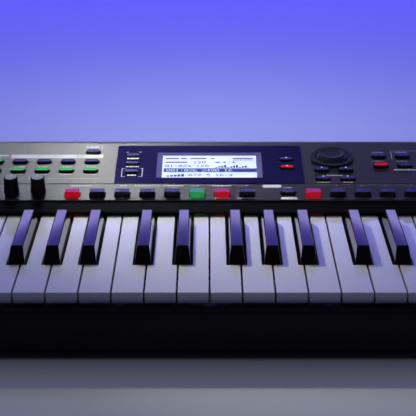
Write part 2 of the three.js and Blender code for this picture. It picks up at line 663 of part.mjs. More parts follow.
function joystickStick() {
  const skin = 1.3;
  const rim = 65;
  const curve = (radius, from, to, steps) =>
    Array.from({ length: steps + 1 }, (_, i) => {
      const angle = THREE.MathUtils.degToRad(from + ((to - from) * i) / steps);
      return [radius * Math.sin(angle), radius * Math.cos(angle)];
    });
  const dome = [...curve(DOME_RADIUS - skin, 12, rim, 3), ...curve(DOME_RADIUS, rim, 14, 4)];
  const profile = [
    [0, -12], [3, -12], [3, DOME_RADIUS - 3], ...dome, [3, 19], [4.4, 23.5],
    [6.4, 28], [6.4, 32.5], [4.6, 36], [0, 37],
  ];
  const pins = rodAlongX(-10.6, 10.6, 1.25, 8);
  return join(turned(profile, 0, 0, 16), pins);
}

piece("joystick_base", joystickBase(), "black", stickFrame);
piece("joystick_gimbal", joystickGimbal(), "steel", stickFrame);
piece("joystick_stick", joystickStick(), "black", stickFrame);

const BLOCK_GAP = 0.9; // between an end block and the outermost key
const joystickWell = box(STICK.x - 25, STICK.x + 25, STICK.y - 25, STICK.y + 25, 40, BLOCK_TOP_Z + 1);
piece("left_end_block", endBlock(-HALF_W, KEYS_LEFT_X - BLOCK_GAP, [joystickWell]), "black");
piece("right_end_block", endBlock(KEYS_RIGHT_X + BLOCK_GAP, HALF_W, []), "black");
piece("front_rail", frontRail(), "black");
piece("key_fascia", keyFascia(), "fascia");
piece("lower_case", lowerCase(), "black");
piece("top_panel", topPanel(), "silver", panelFrame);

// Display
piece("display_panel", displayPanel(), "navy", panelFrame);
const MODULE = { halfWidth: 47, s0: 36.6, s1: 90, top: -2.4, bottom: -10.2 };
piece("display_lens", box(-43, 43, 38, 87, -2.1, -1.6), "lens", panelFrame);
piece(
  "display_module",
  box(-MODULE.halfWidth, MODULE.halfWidth, MODULE.s0, MODULE.s1, MODULE.bottom, MODULE.top),
  "screen",
  panelFrame,
);

// Buttons, knobs and dial
const LIT = new Set(["part_buttons", "group_buttons"]);
for (const [name, strip] of Object.entries(strips)) {
  piece(name, buttonStrip(strip), LIT.has(name) ? "greenButton" : "darkButton", panelFrame);
}
for (const { name, x } of KNOBS) piece(name, knob(x, KNOB_S, 5.4, 6.2, KNOB_HEIGHT), "black", panelFrame);
piece("volume_knob", knob(VOLUME.x, VOLUME.s, 8, 9, VOLUME.height), "black", panelFrame);

function valueDial() {
  const { x, s, radius } = DIAL;
  return turned(
    [
      [0, SHAFT_END], [SHAFT_RADIUS, SHAFT_END], [SHAFT_RADIUS, 0.8], [radius, 0.8],
      [radius, 1.4], [radius - 1.2, 2], [radius - 4.2, 2], [radius - 4.6, 1.2],
      [radius - 5.2, 1.2], [radius - 5.6, 3.6], [radius - 8, 4.8], [radius - 9.6, 5], [0, 3.8],
    ],
    x, s, 32,
  );
}
piece("value_dial", valueDial(), "black", panelFrame);

// Circuit boards. The panel board lies close under the buttons and surrounds the display module.
const PANEL_BOARD = { top: -7.8, thickness: 1.6 };

function panelBoard() {
  const bottom = PANEL_BOARD.top - PANEL_BOARD.thickness;
  const sheet = box(-500, 240, 7, 97, bottom, PANEL_BOARD.top);
  const { halfWidth, s0, s1 } = MODULE;
  const opening = box(-halfWidth - 0.8, halfWidth + 0.8, s0 - 0.8, s1 + 0.8, bottom - 1, 0);
  const pots = [...KNOBS.map(({ x }) => [x, KNOB_S + 1]), [VOLUME.x, VOLUME.s], [DIAL.x, DIAL.s]];
  const bodies = pots.map(([x, y]) => box(x - 5.5, x + 5.5, y - 5, y + 5, bottom + 0.5, SHAFT_END - 0.6));
  return join(cut(sheet, opening), ...bodies);
}
piece("panel_board", panelBoard(), "board", panelFrame);
piece("main_board", box(-95, 285, 82, HALF_D - 4, 15.4, 17), "board");

// Rear connectors
for (const { name, x } of JACKS) piece(name, phoneJack(x), "black");
piece("usb_port", usbPort(), "steel");
piece("power_inlet", powerInlet(), "black");

// Rubber feet
const FOOT = { radius: 11, x: 455, y: 118 };
for (const [side, sx] of [["left", -1], ["right", 1]]) {
  for (const [end, sy] of [["front", -1], ["rear", 1]]) {
    const foot = turned(
      [[0, 0], [FOOT.radius - 1, 0], [FOOT.radius, 1], [FOOT.radius, FOOT_HEIGHT], [0, FOOT_HEIGHT]],
      sx * FOOT.x, sy * FOOT.y, 12,
    );
    piece(`foot_${end}_${side}`, foot, "rubber");
  }
}

export default workstation;
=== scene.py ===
import json
import math
from collections import namedtuple

import bmesh
import bpy
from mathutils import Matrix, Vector


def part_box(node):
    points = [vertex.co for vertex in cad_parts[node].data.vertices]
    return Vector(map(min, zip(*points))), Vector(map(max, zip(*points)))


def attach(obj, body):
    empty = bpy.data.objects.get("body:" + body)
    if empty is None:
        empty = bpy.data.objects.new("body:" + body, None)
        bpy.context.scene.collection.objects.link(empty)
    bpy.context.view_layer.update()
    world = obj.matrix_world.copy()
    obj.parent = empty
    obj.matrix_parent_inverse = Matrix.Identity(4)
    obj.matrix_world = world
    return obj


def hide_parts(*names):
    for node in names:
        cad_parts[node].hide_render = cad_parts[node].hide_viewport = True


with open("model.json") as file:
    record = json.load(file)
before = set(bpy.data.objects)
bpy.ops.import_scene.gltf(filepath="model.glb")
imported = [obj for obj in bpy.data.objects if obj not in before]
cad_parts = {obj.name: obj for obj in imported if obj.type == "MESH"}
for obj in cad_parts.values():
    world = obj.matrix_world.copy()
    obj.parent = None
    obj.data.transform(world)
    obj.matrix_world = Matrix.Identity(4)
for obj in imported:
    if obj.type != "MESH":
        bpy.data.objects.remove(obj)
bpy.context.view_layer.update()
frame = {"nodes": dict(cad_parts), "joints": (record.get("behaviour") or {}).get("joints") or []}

# The looks of a 61-key music workstation. Sizes are in millimetres and become metres in the meshes.
MM = 0.001
scene = bpy.context.scene


def box_mm(node):
    """A solid's lowest and highest corners, in millimetres."""
    low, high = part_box(node)
    return low / MM, high / MM


def added(name, data):
    """A new object in the scene."""
    obj = bpy.data.objects.new(name, data)
    scene.collection.objects.link(obj)
    return obj


def joint_of(child):
    return next(j for j in frame["joints"] if j["child"] == child)


# Places that the solids give
CASE_LOW, CASE_HIGH = box_mm("lower_case")
HALF_W = CASE_HIGH.x
HALF_D = CASE_HIGH.y
RAIL_LOW, RAIL_HIGH = box_mm("front_rail")
KEYS_LOW, KEYS_HIGH = box_mm("white_keys_cegb_1")
KEY_TOP = KEYS_HIGH.z
KEY_FRONT = KEYS_LOW.y
KEY_PITCH = 23.5
KEY_GAP = 1.2
KEYS_X = KEYS_LOW.x - KEY_GAP / 2
OCTAVE = 7 * KEY_PITCH
OCTAVES = 5
FASCIA_Y = box_mm("key_fascia")[0].y
FASCIA_LEAN = 14.1  # how far the fascia slopes back to the panel's front edge
PANEL_RISE = 8.6  # of the panel's front edge above the white keys
PANEL_Y = FASCIA_Y + FASCIA_LEAN
PANEL_Z = KEY_TOP + PANEL_RISE
PANEL_UP = Vector(joint_of("value_dial")["axis"])
SIN, COS = -PANEL_UP.y, PANEL_UP.z
PANEL_LENGTH = 105.4
PANEL_THICKNESS = 2.5
PARTING_Z = CASE_HIGH.z
SEAM = 0.3  # between neighbouring mouldings
COLUMN = 20.6  # pitch of the button columns
CUT_LOW, CUT_HIGH = -9, 9  # heights between which a cut goes right through the panel


def axis_on_panel(node):
    """x and distance up the slope, in millimetres, of a control's axis."""
    x, y, _ = (c / MM for c in joint_of(node)["pos_m"])
    return x, (y - PANEL_Y) / COS


# How an outline's two directions and its height lie in the part's own frame
def upright(a, b, h):
    return (a, b, h)


def on_panel(x, s, h):
    return (x, PANEL_Y + s * COS - h * SIN, PANEL_Z + s * SIN + h * COS)


def along_x(a, b, h):
    return (h, a, b)


def panel_along_x(a, b, h):
    return on_panel(h, a, b)


def from_keys(x, y, z):
    return (KEYS_X + x, KEY_FRONT + y, KEY_TOP + z)


# Outlines
def neighbours(corners):
    count = len(corners)
    for i, here in enumerate(corners):
        yield corners[i - 1], here, corners[(i + 1) % count]


def outline_of(pairs):
    """An outline that turns to the left, without corners that repeat or lie on a straight side."""
    points = [Vector(p) for p in pairs]
    points = [p for before, p, _ in neighbours(points) if (p - before).length > 1e-3]
    points = [
        p for before, p, after in neighbours(points)
        if abs((p - before).cross(after - p)) > 1e-4
    ]
    area = sum(before.cross(p) for before, p, _ in neighbours(points))
    return points if area > 0 else points[::-1]


def inset(corners, distance):
    moved = []
    for before, here, after in neighbours(corners):
        arriving = (here - before).normalized()
        leaving = (after - here).normalized()
        first = Vector((-arriving.y, arriving.x))
        second = Vector((-leaving.y, leaving.x))
        moved.append(here + (first + second) * (distance / (1 + first.dot(second))))
    return moved


def rounded(corners, radii, steps):
    """Corners replaced by arcs, one radius for all or one for each."""
    if isinstance(radii, (int, float)):
        radii = [radii] * len(corners)
    outline = []
    for (before, here, after), radius in zip(neighbours(corners), radii):
        back = (before - here).normalized()
        on = (after - here).normalized()
        half = back.angle(on) / 2
        centre = here + (back + on).normalized() * (radius / math.sin(half))
        start = here + back * (radius / math.tan(half)) - centre
        end = here + on * (radius / math.tan(half)) - centre
        turn = start.angle_signed(end)
        for k in range(steps + 1):
            angle = -turn * k / steps
            c, s = math.cos(angle), math.sin(angle)
            outline.append(centre + Vector((start.x * c - start.y * s, start.x * s + start.y * c)))
    return outline


def shrunk(corners, radius, distance, steps):
    """The rounded outline moved inwards: outer corners tighten and inner ones open."""
    radii = []
    for before, here, after in neighbours(corners):
        outer = (here - before).cross(after - here) > 0
        radii.append(max(radius - distance, 0.02) if outer else radius + distance)
    return rounded(inset(corners, distance), radii, steps)


def rectangle(x, y, width, depth):
    a, b = width / 2, depth / 2
    return [Vector(p) for p in ((x - a, y - b), (x + a, y - b), (x + a, y + b), (x - a, y + b))]


def span(x0, x1, y0, y1):
    return rectangle((x0 + x1) / 2, (y0 + y1) / 2, x1 - x0, y1 - y0)


def circle(x, y, radius, count):
    turns = [2 * math.pi / count * i for i in range(count)]
    return [Vector((x + radius * math.cos(t), y + radius * math.sin(t))) for t in turns]


def softened(points, radii, steps):
    """An open line of points with its inner corners replaced by arcs."""
    line = [Vector(points[0])]
    for i in range(1, len(points) - 1):
        three = [Vector(points[i - 1]), Vector(points[i]), Vector(points[i + 1])]
        if radii[i - 1] <= 0:
            line.append(three[1])
            continue
        line += rounded(three, radii[i - 1], steps)[steps + 1:2 * (steps + 1)]
    return line + [Vector(points[-1])]


class Form:
    """Closed shapes gathered into one mesh, in millimetres."""

    def __init__(self):
        self.points = []
        self.faces = []
        self.looks = []

    def _face(self, corners, look):
        self.faces.append(corners)
        self.looks.append(look)

    def skin(self, rings, look=0, loop=False):
        """A skin through rings with equal counts of points, with flat ends or closed on itself."""
        start, count, levels = len(self.points), len(rings[0]), len(rings)
        for ring in rings:
            self.points += [tuple(p) for p in ring]
        for level in range(levels if loop else levels - 1):
            low = start + level * count
            high = start + (level + 1) % levels * count
            for i in range(count):
                j = (i + 1) % count
                self._face((low + i, low + j, high + j, high + i), look)
        if not loop:
            self._face(tuple(start + i for i in reversed(range(count))), look)
            self._face(tuple(start + (levels - 1) * count + i for i in range(count)), look)

    def slab(
        self, corners, low, high, radius=0.0, top=0.0, bottom=0.0, place=on_panel, steps=3, look=0,
    ):
        """An outline raised from low to high, its corners and its top and bottom edges rounded."""
        levels = []
        turns = [math.pi / 2 * k / steps for k in range(steps + 1)]
        if bottom:
            levels += [(bottom * (1 - math.sin(t)), low + bottom * (1 - math.cos(t))) for t in turns]
        else:
            levels.append((0.0, low))
        if top:
            levels += [(top * (1 - math.cos(t)), high - top * (1 - math.sin(t))) for t in turns]
        else:
            levels.append((0.0, high))
        rings = []
        for distance, height in levels:
            ring = shrunk(corners, radius, distance, steps) if radius else inset(corners, distance)
            rings.append([place(p.x, p.y, height) for p in ring])
        self.skin(rings, look)

    def turned(self, profile, x, y, count, place=on_panel, loop=False):
        """A profile of radius and height turned about an axis."""
        rings = [[place(p.x, p.y, height) for p in circle(x, y, radius, count)] for radius, height in profile]
        self.skin(rings, loop=loop)


def mesh_of(name, form):
    mesh = bpy.data.meshes.new(name)
    mesh.from_pydata([tuple(c * MM for c in p) for p in form.points], [], form.faces)
    mesh.polygons.foreach_set("material_index", form.looks)
    work = bmesh.new()
    work.from_mesh(mesh)
    bmesh.ops.recalc_face_normals(work, faces=work.faces)
    work.to_mesh(mesh)
    work.free()
    return mesh


CREASE = 32  # degrees; an edge that turns by more is sharp
BLACK_KEY_CREASE = 26
PANEL_CREASE = 24
FLAT_WEIGHT = 90


def shade(obj, crease):
    """Smooth shading in which the large flat faces stay flat up to their rounded edges."""
    obj.data.shade_smooth()
    obj.data.set_sharp_from_angle(angle=math.radians(crease))
    flat = obj.modifiers.new("flat_faces", "WEIGHTED_NORMAL")
    flat.mode = "FACE_AREA"
    flat.weight = FLAT_WEIGHT
    flat.keep_sharp = True


def piece_from_mesh(name, mesh, looks, body, replaces=(), crease=CREASE):
    """A mesh as a finished piece that rides on a body."""
    obj = added(name, mesh)
    for look in looks if isinstance(looks, list) else [looks]:
        mesh.materials.append(look)
    shade(obj, crease)
    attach(obj, body)
    if replaces:
        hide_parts(*replaces)


def piece(name, form, looks, body, replaces=(), crease=CREASE):
    """A form as a finished piece."""
    piece_from_mesh(name, mesh_of(name, form), looks, body, replaces, crease)


def cut_out(form, tools, name):
    """The first form less the second, as a mesh."""
    whole = added(name, mesh_of(name, form))
    cutter = added(name + "_cutter", mesh_of(name + "_cutter", tools))
    modifier = whole.modifiers.new("cut", "BOOLEAN")
    modifier.operation = "DIFFERENCE"
    modifier.solver = "EXACT"
    modifier.use_self = True
    modifier.object = cutter
    depsgraph = bpy.context.evaluated_depsgraph_get()
    mesh = bpy.data.meshes.new_from_object(whole.evaluated_get(depsgraph))
    for obj in (whole, cutter):
        bpy.data.objects.remove(obj)
    mesh.materials.clear()
    mesh.polygons.foreach_set("material_index", [0] * len(mesh.polygons))
    return mesh


# Materials
def principled(name, colour, roughness, **sockets):
    made = bpy.data.materials.new(name)
    made.use_nodes = True
    shader = made.node_tree.nodes["Principled BSDF"]
    shader.inputs["Base Color"].default_value = (*colour, 1)
    shader.inputs["Roughness"].default_value = roughness
    for socket, value in sockets.items():
        shader.inputs[socket.replace("_", " ")].default_value = value
    return made


def noise(made, scale, detail=3.0, stretch=(1, 1, 1)):
    nodes, links = made.node_tree.nodes, made.node_tree.links
    where = nodes.new("ShaderNodeTexCoord")
    mapping = nodes.new("ShaderNodeMapping")
    mapping.inputs["Scale"].default_value = stretch
    texture = nodes.new("ShaderNodeTexNoise")
    texture.inputs["Scale"].default_value = scale
    texture.inputs["Detail"].default_value = detail
    links.new(where.outputs["Object"], mapping.inputs["Vector"])
    links.new(mapping.outputs["Vector"], texture.inputs["Vector"])
    return texture.outputs["Fac"]


def between(made, factor, low, high):
    """A value that runs from low to high with the factor."""
    nodes, links = made.node_tree.nodes, made.node_tree.links
    ramp = nodes.new("ShaderNodeMapRange")
    ramp.inputs["From Min"].default_value = 0.3
    ramp.inputs["From Max"].default_value = 0.7
    ramp.inputs["To Min"].default_value = low
    ramp.inputs["To Max"].default_value = high
    links.new(factor, ramp.inputs["Value"])
    return ramp.outputs["Result"]


def feed(made, output, socket):
    shader = made.node_tree.nodes["Principled BSDF"]
    made.node_tree.links.new(output, shader.inputs[socket])


def colour_mix(tree, factor):
    """A mix of two colours: its two colour sockets and its result."""
    mix = tree.nodes.new("ShaderNodeMix")
    mix.data_type = "RGBA"
    tree.links.new(factor, mix.inputs[0])
    first, second = [s for s in mix.inputs if s.type == "RGBA"]
    return first, second, next(s for s in mix.outputs if s.type == "RGBA")


def tinted(made, factor, low, high):
    first, second, result = colour_mix(made.node_tree, between(made, factor, 0, 1))
    first.default_value = (*low, 1)
    second.default_value = (*high, 1)
    feed(made, result, "Base Color")


def bumped(made, factor, depth):
    """Relief of the given depth in millimetres."""
    bump = made.node_tree.nodes.new("ShaderNodeBump")
    bump.inputs["Distance"].default_value = depth * MM
    made.node_tree.links.new(factor, bump.inputs["Height"])
    feed(made, bump.outputs["Normal"], "Normal")


def roughened(made, factor, low, high):
    feed(made, between(made, factor, low, high), "Roughness")


def scaled(colour, factor):
    return tuple(c * factor for c in colour)


def silver_paint():
    made = principled("silver_paint", (0.48, 0.485, 0.49), 0.42, Metallic=1.0)
    flake = noise(made, 2600, 2)
    tinted(made, flake, (0.45, 0.45, 0.39), (0.55, 0.55, 0.48))
    roughened(made, noise(made, 90), 0.4, 0.44)
    bumped(made, noise(made, 1400, 2), 0.012)
    return made


GRAIN_SCALE = 1700


def moulded(name, colour, roughness, grain, **sockets):
    """Plastic with the fine grain of an etched mould."""
    made = principled(name, colour, roughness, **sockets)
    tinted(made, noise(made, 60), scaled(colour, 0.85), scaled(colour, 1.15))
    roughened(made, noise(made, 45), roughness - 0.04, roughness + 0.04)
    bumped(made, noise(made, GRAIN_SCALE, 4), grain)
    return made


def polished(name, colour, roughness, wave, **sockets):
    """Glossy plastic with the faint waviness of a mould and a little haze."""
    made = principled(name, colour, roughness, **sockets)
    tinted(made, noise(made, 35), scaled(colour, 0.96), colour)
    roughened(made, noise(made, 55, 4), roughness * 0.8, roughness * 1.25)
    bumped(made, noise(made, 160, 2), wave)
    return made


def drawn_steel():
    made = principled("steel", (0.55, 0.55, 0.57), 0.32, Metallic=1.0)
    grain = noise(made, 900, 3, (0.02, 1, 1))
    roughened(made, grain, 0.24, 0.42)
    bumped(made, grain, 0.01)
    return made


def speckled_cap():
    """Silver lacquer with coarse flakes that catch the light one by one."""
    made = principled("knob_cap", (0.52, 0.52, 0.56), 0.34, Metallic=0.9)
    flake = noise(made, 2100, 1)
    tinted(made, flake, (0.34, 0.34, 0.38), (0.72, 0.72, 0.76))
    roughened(made, flake, 0.26, 0.42)
    bumped(made, flake, 0.02)
    return made


LAMP_ROUGHNESS, LAMP_WAVE = 0.22, 0.01


def glowing(name, colour, strength):
    """Translucent coloured plastic with a lamp behind it."""
    made = polished(name, colour, LAMP_ROUGHNESS, LAMP_WAVE, Emission_Color=(*colour, 1))
    lamp = between(made, noise(made, 240, 1), strength * 0.85, strength * 1.1)
    feed(made, lamp, "Emission Strength")
    return made


def clear_lens():
    made = principled("lens", (0.97, 0.98, 1.0), 0.02, Transmission_Weight=1.0, IOR=1.35)
    bumped(made, noise(made, 40, 1), 0.003)
    return made


def backlit_screen():
    """A pale blue-white display with a fine dot grid that glows from behind."""
    made = principled("screen", (0.55, 0.62, 0.78), 0.3, Emission_Color=(0.80, 0.90, 0.94, 1))
    feed(made, between(made, noise(made, 25, 1), 0.86, 0.98), "Emission Strength")
    return made


SILVER = silver_paint()
CASE_BLACK = moulded("case_black", (0.005, 0.005, 0.0055), 0.45, 0.03, Specular_IOR_Level=0.2)
FASCIA = moulded("fascia", (0.007, 0.007, 0.008), 0.5, 0.015, Specular_IOR_Level=0.1)
NAVY = polished("navy_gloss", (0.018, 0.014, 0.085), 0.12, 0.002)
BEZEL = polished("bezel", (0.13, 0.12, 0.36), 0.22, 0.004)
WHITE_KEY = polished("white_key", (0.80, 0.80, 0.82), 0.12, 0.002, Coat_Weight=0.3)
BLACK_KEY = polished("black_key", (0.006, 0.006, 0.007), 0.05, 0.002, Coat_Weight=0.3)
BUTTON = moulded("button_dark", (0.014, 0.013, 0.026), 0.3, 0.006)
# The caps' tops: the dark cap plastic made paler and violet, a painted reflection of the violet studio light
CAP_TOP_PAINTED_REFLECTION = moulded("button_top_painted_reflection", (0.085, 0.078, 0.27), 0.24, 0.006, Coat_Weight=0.4)
LAMP_GREEN = glowing("lamp_green", (0.03, 0.36, 0.10), 0.6)
# Faces of lit green tall caps: a darker, violet-tinted copy of the lit green, painted shade and painted
# reflection
GREEN_PAINTED_SHADE_AND_REFLECTION = glowing("lamp_green_painted_shade_and_reflection", (0.05, 0.22, 0.22), 0.4)
LAMP_RED = glowing("lamp_red", (0.60, 0.006, 0.022), 0.55)
# Faces of lit red tall caps: a darker, violet-tinted copy of the lit red, painted shade and painted
# reflection
RED_PAINTED_SHADE_AND_REFLECTION = glowing("lamp_red_painted_shade_and_reflection", (0.30, 0.035, 0.19), 0.45)
KNOB = moulded("knob_black", (0.005, 0.005, 0.006), 0.4, 0.012, Specular_IOR_Level=0.3)
# The dial's dark plastic made paler and violet: partly its own dark grey, partly a painted highlight and
# violet reflection
DIAL = moulded("dial_dark_painted_sheen", (0.044, 0.041, 0.066), 0.26, 0.01)
KNOB_CAP = speckled_cap()
MARKING = moulded("marking", (0.92, 0.9, 0.84), 0.5, 0.004)
LIGHT_DOT = glowing("light_dot", (0.8, 0.8, 1.0), 0.5)
RUBBER = moulded("foot_rubber", (0.015, 0.015, 0.015), 0.8, 0.05)
BOARD = moulded("board_green", (0.02, 0.12, 0.05), 0.45, 0.02)
CONNECTOR = moulded("connector", (0.010, 0.010, 0.011), 0.35, 0.01)
DARK = moulded("cavity", (0.004, 0.004, 0.005), 0.7, 0.01)
LENS = clear_lens()
SCREEN = backlit_screen()
INK = moulded("screen_ink", (0.085, 0.07, 0.30), 0.4, 0.004)
STEEL = drawn_steel()


# Camera: the photograph's viewing angle
CAMERA_AT = (-1.2, -1010.4, 453.3)
CAMERA_PITCH = 21.3
CAMERA_LENS = 117.1
camera_data = bpy.data.cameras.new("camera")
camera_data.lens = CAMERA_LENS
camera_data.sensor_width = 36
camera_data.clip_start = 0.01
camera_data.clip_end = 50
camera = added("camera", camera_data)
camera.location = Vector(CAMERA_AT) * MM
camera.rotation_euler = (math.radians(90 - CAMERA_PITCH), 0, 0)
scene.camera = camera


# Keys
BLACK_CENTRES = (20.8, 50.3, 90.9, 117.4, 144.4)
NOTCH_HALF = 7.6
NOTCH_Y = 49.4
BLACK_FRONT = 50.3
BLACK_REAR = 134.5
BLACK_HEIGHT = 12.0
BLACK_BASE = 12.6
BLACK_TOP = 9.0
BLACK_SKIRT = -5.0
SKIRT = -8.8
TAIL_END = 165.0
BAR_LOW, BAR_HIGH, BAR_DEPTH = -9.0, -5.2, 8.0
BAR_OVERHANG = 4.5
STRIP_HALF = 3.5
STRIP_THICKNESS = 1.3
WHITE_STRIP, BLACK_STRIP = -3.2, -1.6
CEGB_BAR, DFA_BAR, BLACK_BAR = 176, 188, 200


def sides_of(note):
    return note * KEY_PITCH + KEY_GAP / 2, (note + 1) * KEY_PITCH - KEY_GAP / 2


def tail_of(note):
    """The sides of a white key's tail, which keeps clear of the black keys."""
    left, right = sides_of(note)
    for centre in BLACK_CENTRES:
        if centre - NOTCH_HALF < left < centre + NOTCH_HALF:
            left = centre + NOTCH_HALF
        if centre - NOTCH_HALF < right < centre + NOTCH_HALF:
            right = centre - NOTCH_HALF
    return left, right


def white_key(form, shift, note, whole=False):
    """A white key, rounded along its edges, and the middle of its tail."""
    left, right = sides_of(note)
    a, b = (left, right) if whole else tail_of(note)
    corners = outline_of([
        (left, 0), (right, 0), (right, NOTCH_Y), (b, NOTCH_Y),
        (b, TAIL_END), (a, TAIL_END), (a, NOTCH_Y), (left, NOTCH_Y),
    ])
    corners = [Vector((p.x + shift, p.y)) for p in corners]
    form.slab(corners, SKIRT, 0, radius=0.7, top=0.7, bottom=1.3, place=from_keys)
    return shift + (a + b) / 2


def black_key(form, x):
    """A black key: a sloping front, leaning sides, rounded shoulders and a low tail."""
    lean = (BLACK_BASE - BLACK_TOP) / 2 / BLACK_HEIGHT
    rear = BLACK_REAR
    path = softened(
        [(BLACK_FRONT, 0.2), (BLACK_FRONT + 7.2, BLACK_HEIGHT), (rear - 0.6, BLACK_HEIGHT), (rear, 3.0)],
        [1.3, 3.2], 5,
    )
    low_half = BLACK_BASE / 2 - lean * BLACK_SKIRT
    rings = []
    for y, top in path:
        top_half = BLACK_BASE / 2 - lean * top
        section = [
            Vector((x - low_half, BLACK_SKIRT)), Vector((x + low_half, BLACK_SKIRT)),
            Vector((x + top_half, top)), Vector((x - top_half, top)),
        ]
        ring = rounded(section, [0.1, 0.1, 1.2, 1.2], 4)
        rings.append([from_keys(p.x, y, p.y) for p in ring])
    form.skin(rings)
    half = BLACK_BASE / 2
    tail = span(x - half, x + half, rear - 2, TAIL_END)
    form.slab(tail, BLACK_SKIRT, -1, radius=0.3, top=0.3, place=from_keys)


def bar_and_strips(form, centres, bar_y, strip_z):
    """The hidden rear of a comb of keys: the bar, and the thin strips that its keys bend on."""
    rear = bar_y + BAR_DEPTH
    across = span(min(centres) - BAR_OVERHANG, max(centres) + BAR_OVERHANG, bar_y, rear)
    form.slab(across, BAR_LOW, BAR_HIGH, radius=0.5, top=0.3, place=from_keys)
    top = strip_z + STRIP_THICKNESS
    for x in centres:
        strip = outline_of([
            (TAIL_END - 1.5, -4.5), (TAIL_END - 0.5, -4.5),
            (TAIL_END - 0.5, strip_z), (bar_y + 1, strip_z),
            (bar_y + 1, BAR_HIGH - 1), (rear - 1, BAR_HIGH - 1),
            (rear - 1, top), (TAIL_END - 1.5, top),
        ])
        rings = [[from_keys(side, p.x, p.y) for p in strip] for side in (x - STRIP_HALF, x + STRIP_HALF)]
        form.skin(rings)


COMBS = {"white_keys_cegb": ((0, 2, 4, 6), CEGB_BAR), "white_keys_dfa": ((1, 3, 5), DFA_BAR)}
for octave in range(OCTAVES):
    for comb, (notes, bar_y) in COMBS.items():
        keys = Form()
        centres = [white_key(keys, octave * OCTAVE, note) for note in notes]
        bar_and_strips(keys, centres, bar_y, WHITE_STRIP)
        node = f"{comb}_{octave + 1}"
        piece("keys_" + node, keys, WHITE_KEY, node, [node])
    keys = Form()
    centres = [octave * OCTAVE + centre for centre in BLACK_CENTRES]
    for x in centres:
        black_key(keys, x)
    bar_and_strips(keys, centres, BLACK_BAR, BLACK_STRIP)
    node = f"black_keys_{octave + 1}"
    piece("keys_" + node, keys, BLACK_KEY, node, [node], BLACK_KEY_CREASE)
keys = Form()
centre = white_key(keys, OCTAVES * OCTAVE, 0, whole=True)
bar_and_strips(keys, [centre], CEGB_BAR, WHITE_STRIP)
piece("keys_white_key_top_c", keys, WHITE_KEY, "white_key_top_c", ["white_key_top_c"])


# Buttons
def columns(first, count, pitch=COLUMN):
    return [first + i * pitch for i in range(count)]


def grid(xs, rows):
    return [(x, s) for s in rows for x in xs]


Cap = namedtuple("Cap", "width depth height hole corner")
SMALL = Cap(width=12.0, depth=5.7, height=2.2, hole=0.9, corner=2.3)
SCREEN_SIDE = Cap(width=11.3, depth=4.8, height=2.0, hole=0.6, corner=1.8)
TALL = Cap(width=11.8, depth=7.0, height=4.5, hole=1.0, corner=0.6)
TALL_FALL = 0.3  # of a tall cap's finger face towards the rear
CARRIER_LOW, CARRIER_HIGH = -5.8, -4.2
CARRIER_MARGIN = 0.8
CAP_FOOT = CARRIER_LOW + 0.4
STRIP_ROW = 9.4
BUTTONS = {
    "pattern_buttons": (TALL, grid(columns(-113.1, 8), [STRIP_ROW])),
    "memory_buttons": (TALL, grid(columns(85.8, 8, 20.4), [STRIP_ROW])),
    "bank_button": (SMALL, [(65.2, 12.5)]),
    "part_buttons": (SMALL, grid(columns(-163.2, 4), [52, 68.9])),
    "group_buttons": (SMALL, grid(columns(-245.7, 4), [52, 68.9])),
    "tap_button": (SMALL, [(-101.5, 87.3)]),
    "menu_buttons": (SCREEN_SIDE, grid([-66.3], [49.7, 64.9, 80.1])),
    "page_buttons": (SCREEN_SIDE, grid([66.4], [57.4, 72.6])),
    "cursor_buttons": (SMALL, grid([95.9, 116.6], [37.1, 53.4])),
    "song_buttons": (SMALL, grid(columns(147.4, 4), [61.2, 79.2])),
    "power_button": (SMALL, [(-488, 80)]),
}
# Places in the list of a cap's looks. A lit tall cap's finger face has the look after its own: a darker,
# violet copy of its glow, that is painted shade and painted reflection. TOP is the painted violet reflection
# on unlit tops.
CAP_LOOKS = [BUTTON, LAMP_RED, RED_PAINTED_SHADE_AND_REFLECTION, LAMP_GREEN, GREEN_PAINTED_SHADE_AND_REFLECTION, CAP_TOP_PAINTED_REFLECTION, DARK]
RED, GREEN, TOP, CARRIER = 1, 3, 5, 6
LIT = {
    "pattern_buttons": {0: RED, 5: GREEN, 6: RED},
    "memory_buttons": {0: RED},
    "part_buttons": {0: GREEN, 1: GREEN, 2: GREEN, 3: GREEN},
    "group_buttons": {3: GREEN, 7: GREEN},
    "page_buttons": {0: RED},
    "song_buttons": {0: RED},
}


def small_cap(form, x, s, cap, look):
    """A rounded cap with dark sides and a top that is either lit or, on an unlit cap, painted paler and
    violet as a painted reflection.
    """
    top = cap.height
    outline = rectangle(x, s, cap.width, cap.depth)
    form.slab(outline, CAP_FOOT, top, radius=cap.corner, top=0.75, steps=5)
    face = rectangle(x, s, cap.width - 0.9, cap.depth - 0.9)
    corner = cap.corner - 0.5
    # An unlit cap's top gets the painted violet reflection
    form.slab(face, top - 0.2, top + 0.03, radius=corner, steps=5, look=look or TOP)


def tall_cap(form, x, s, cap, look):
    """A cap with a steep front and a flat finger face. A lit one glows in front, and its face has a darker,
    violet copy of the glow as painted shade and reflection. An unlit one's face has the painted violet
    reflection of the tops.
    """
    left, right = x - cap.width / 2, x + cap.width / 2
    front, rear, top = s - cap.depth / 2, s + cap.depth / 2, cap.height
    side = outline_of([
        (front, CAP_FOOT), (rear, CAP_FOOT), (rear, top - TALL_FALL), (front + 0.3, top), (front, 0.3),
    ])
    form.slab(side, left, right, radius=0.35, top=0.45, bottom=0.45, place=panel_along_x, look=look)
    face = outline_of([
        (rear - 0.4, top - TALL_FALL - 0.3), (rear - 0.4, top - TALL_FALL + 0.05),
        (front + 0.6, top + 0.02), (front + 0.6, top - 0.3),
    ])
    # A lit cap's face gets the painted shade and reflection, and an unlit one's face gets the painted violet
    # reflection
    form.slab(face, left + 0.4, right - 0.4, place=panel_along_x, look=look + 1 if look else TOP)


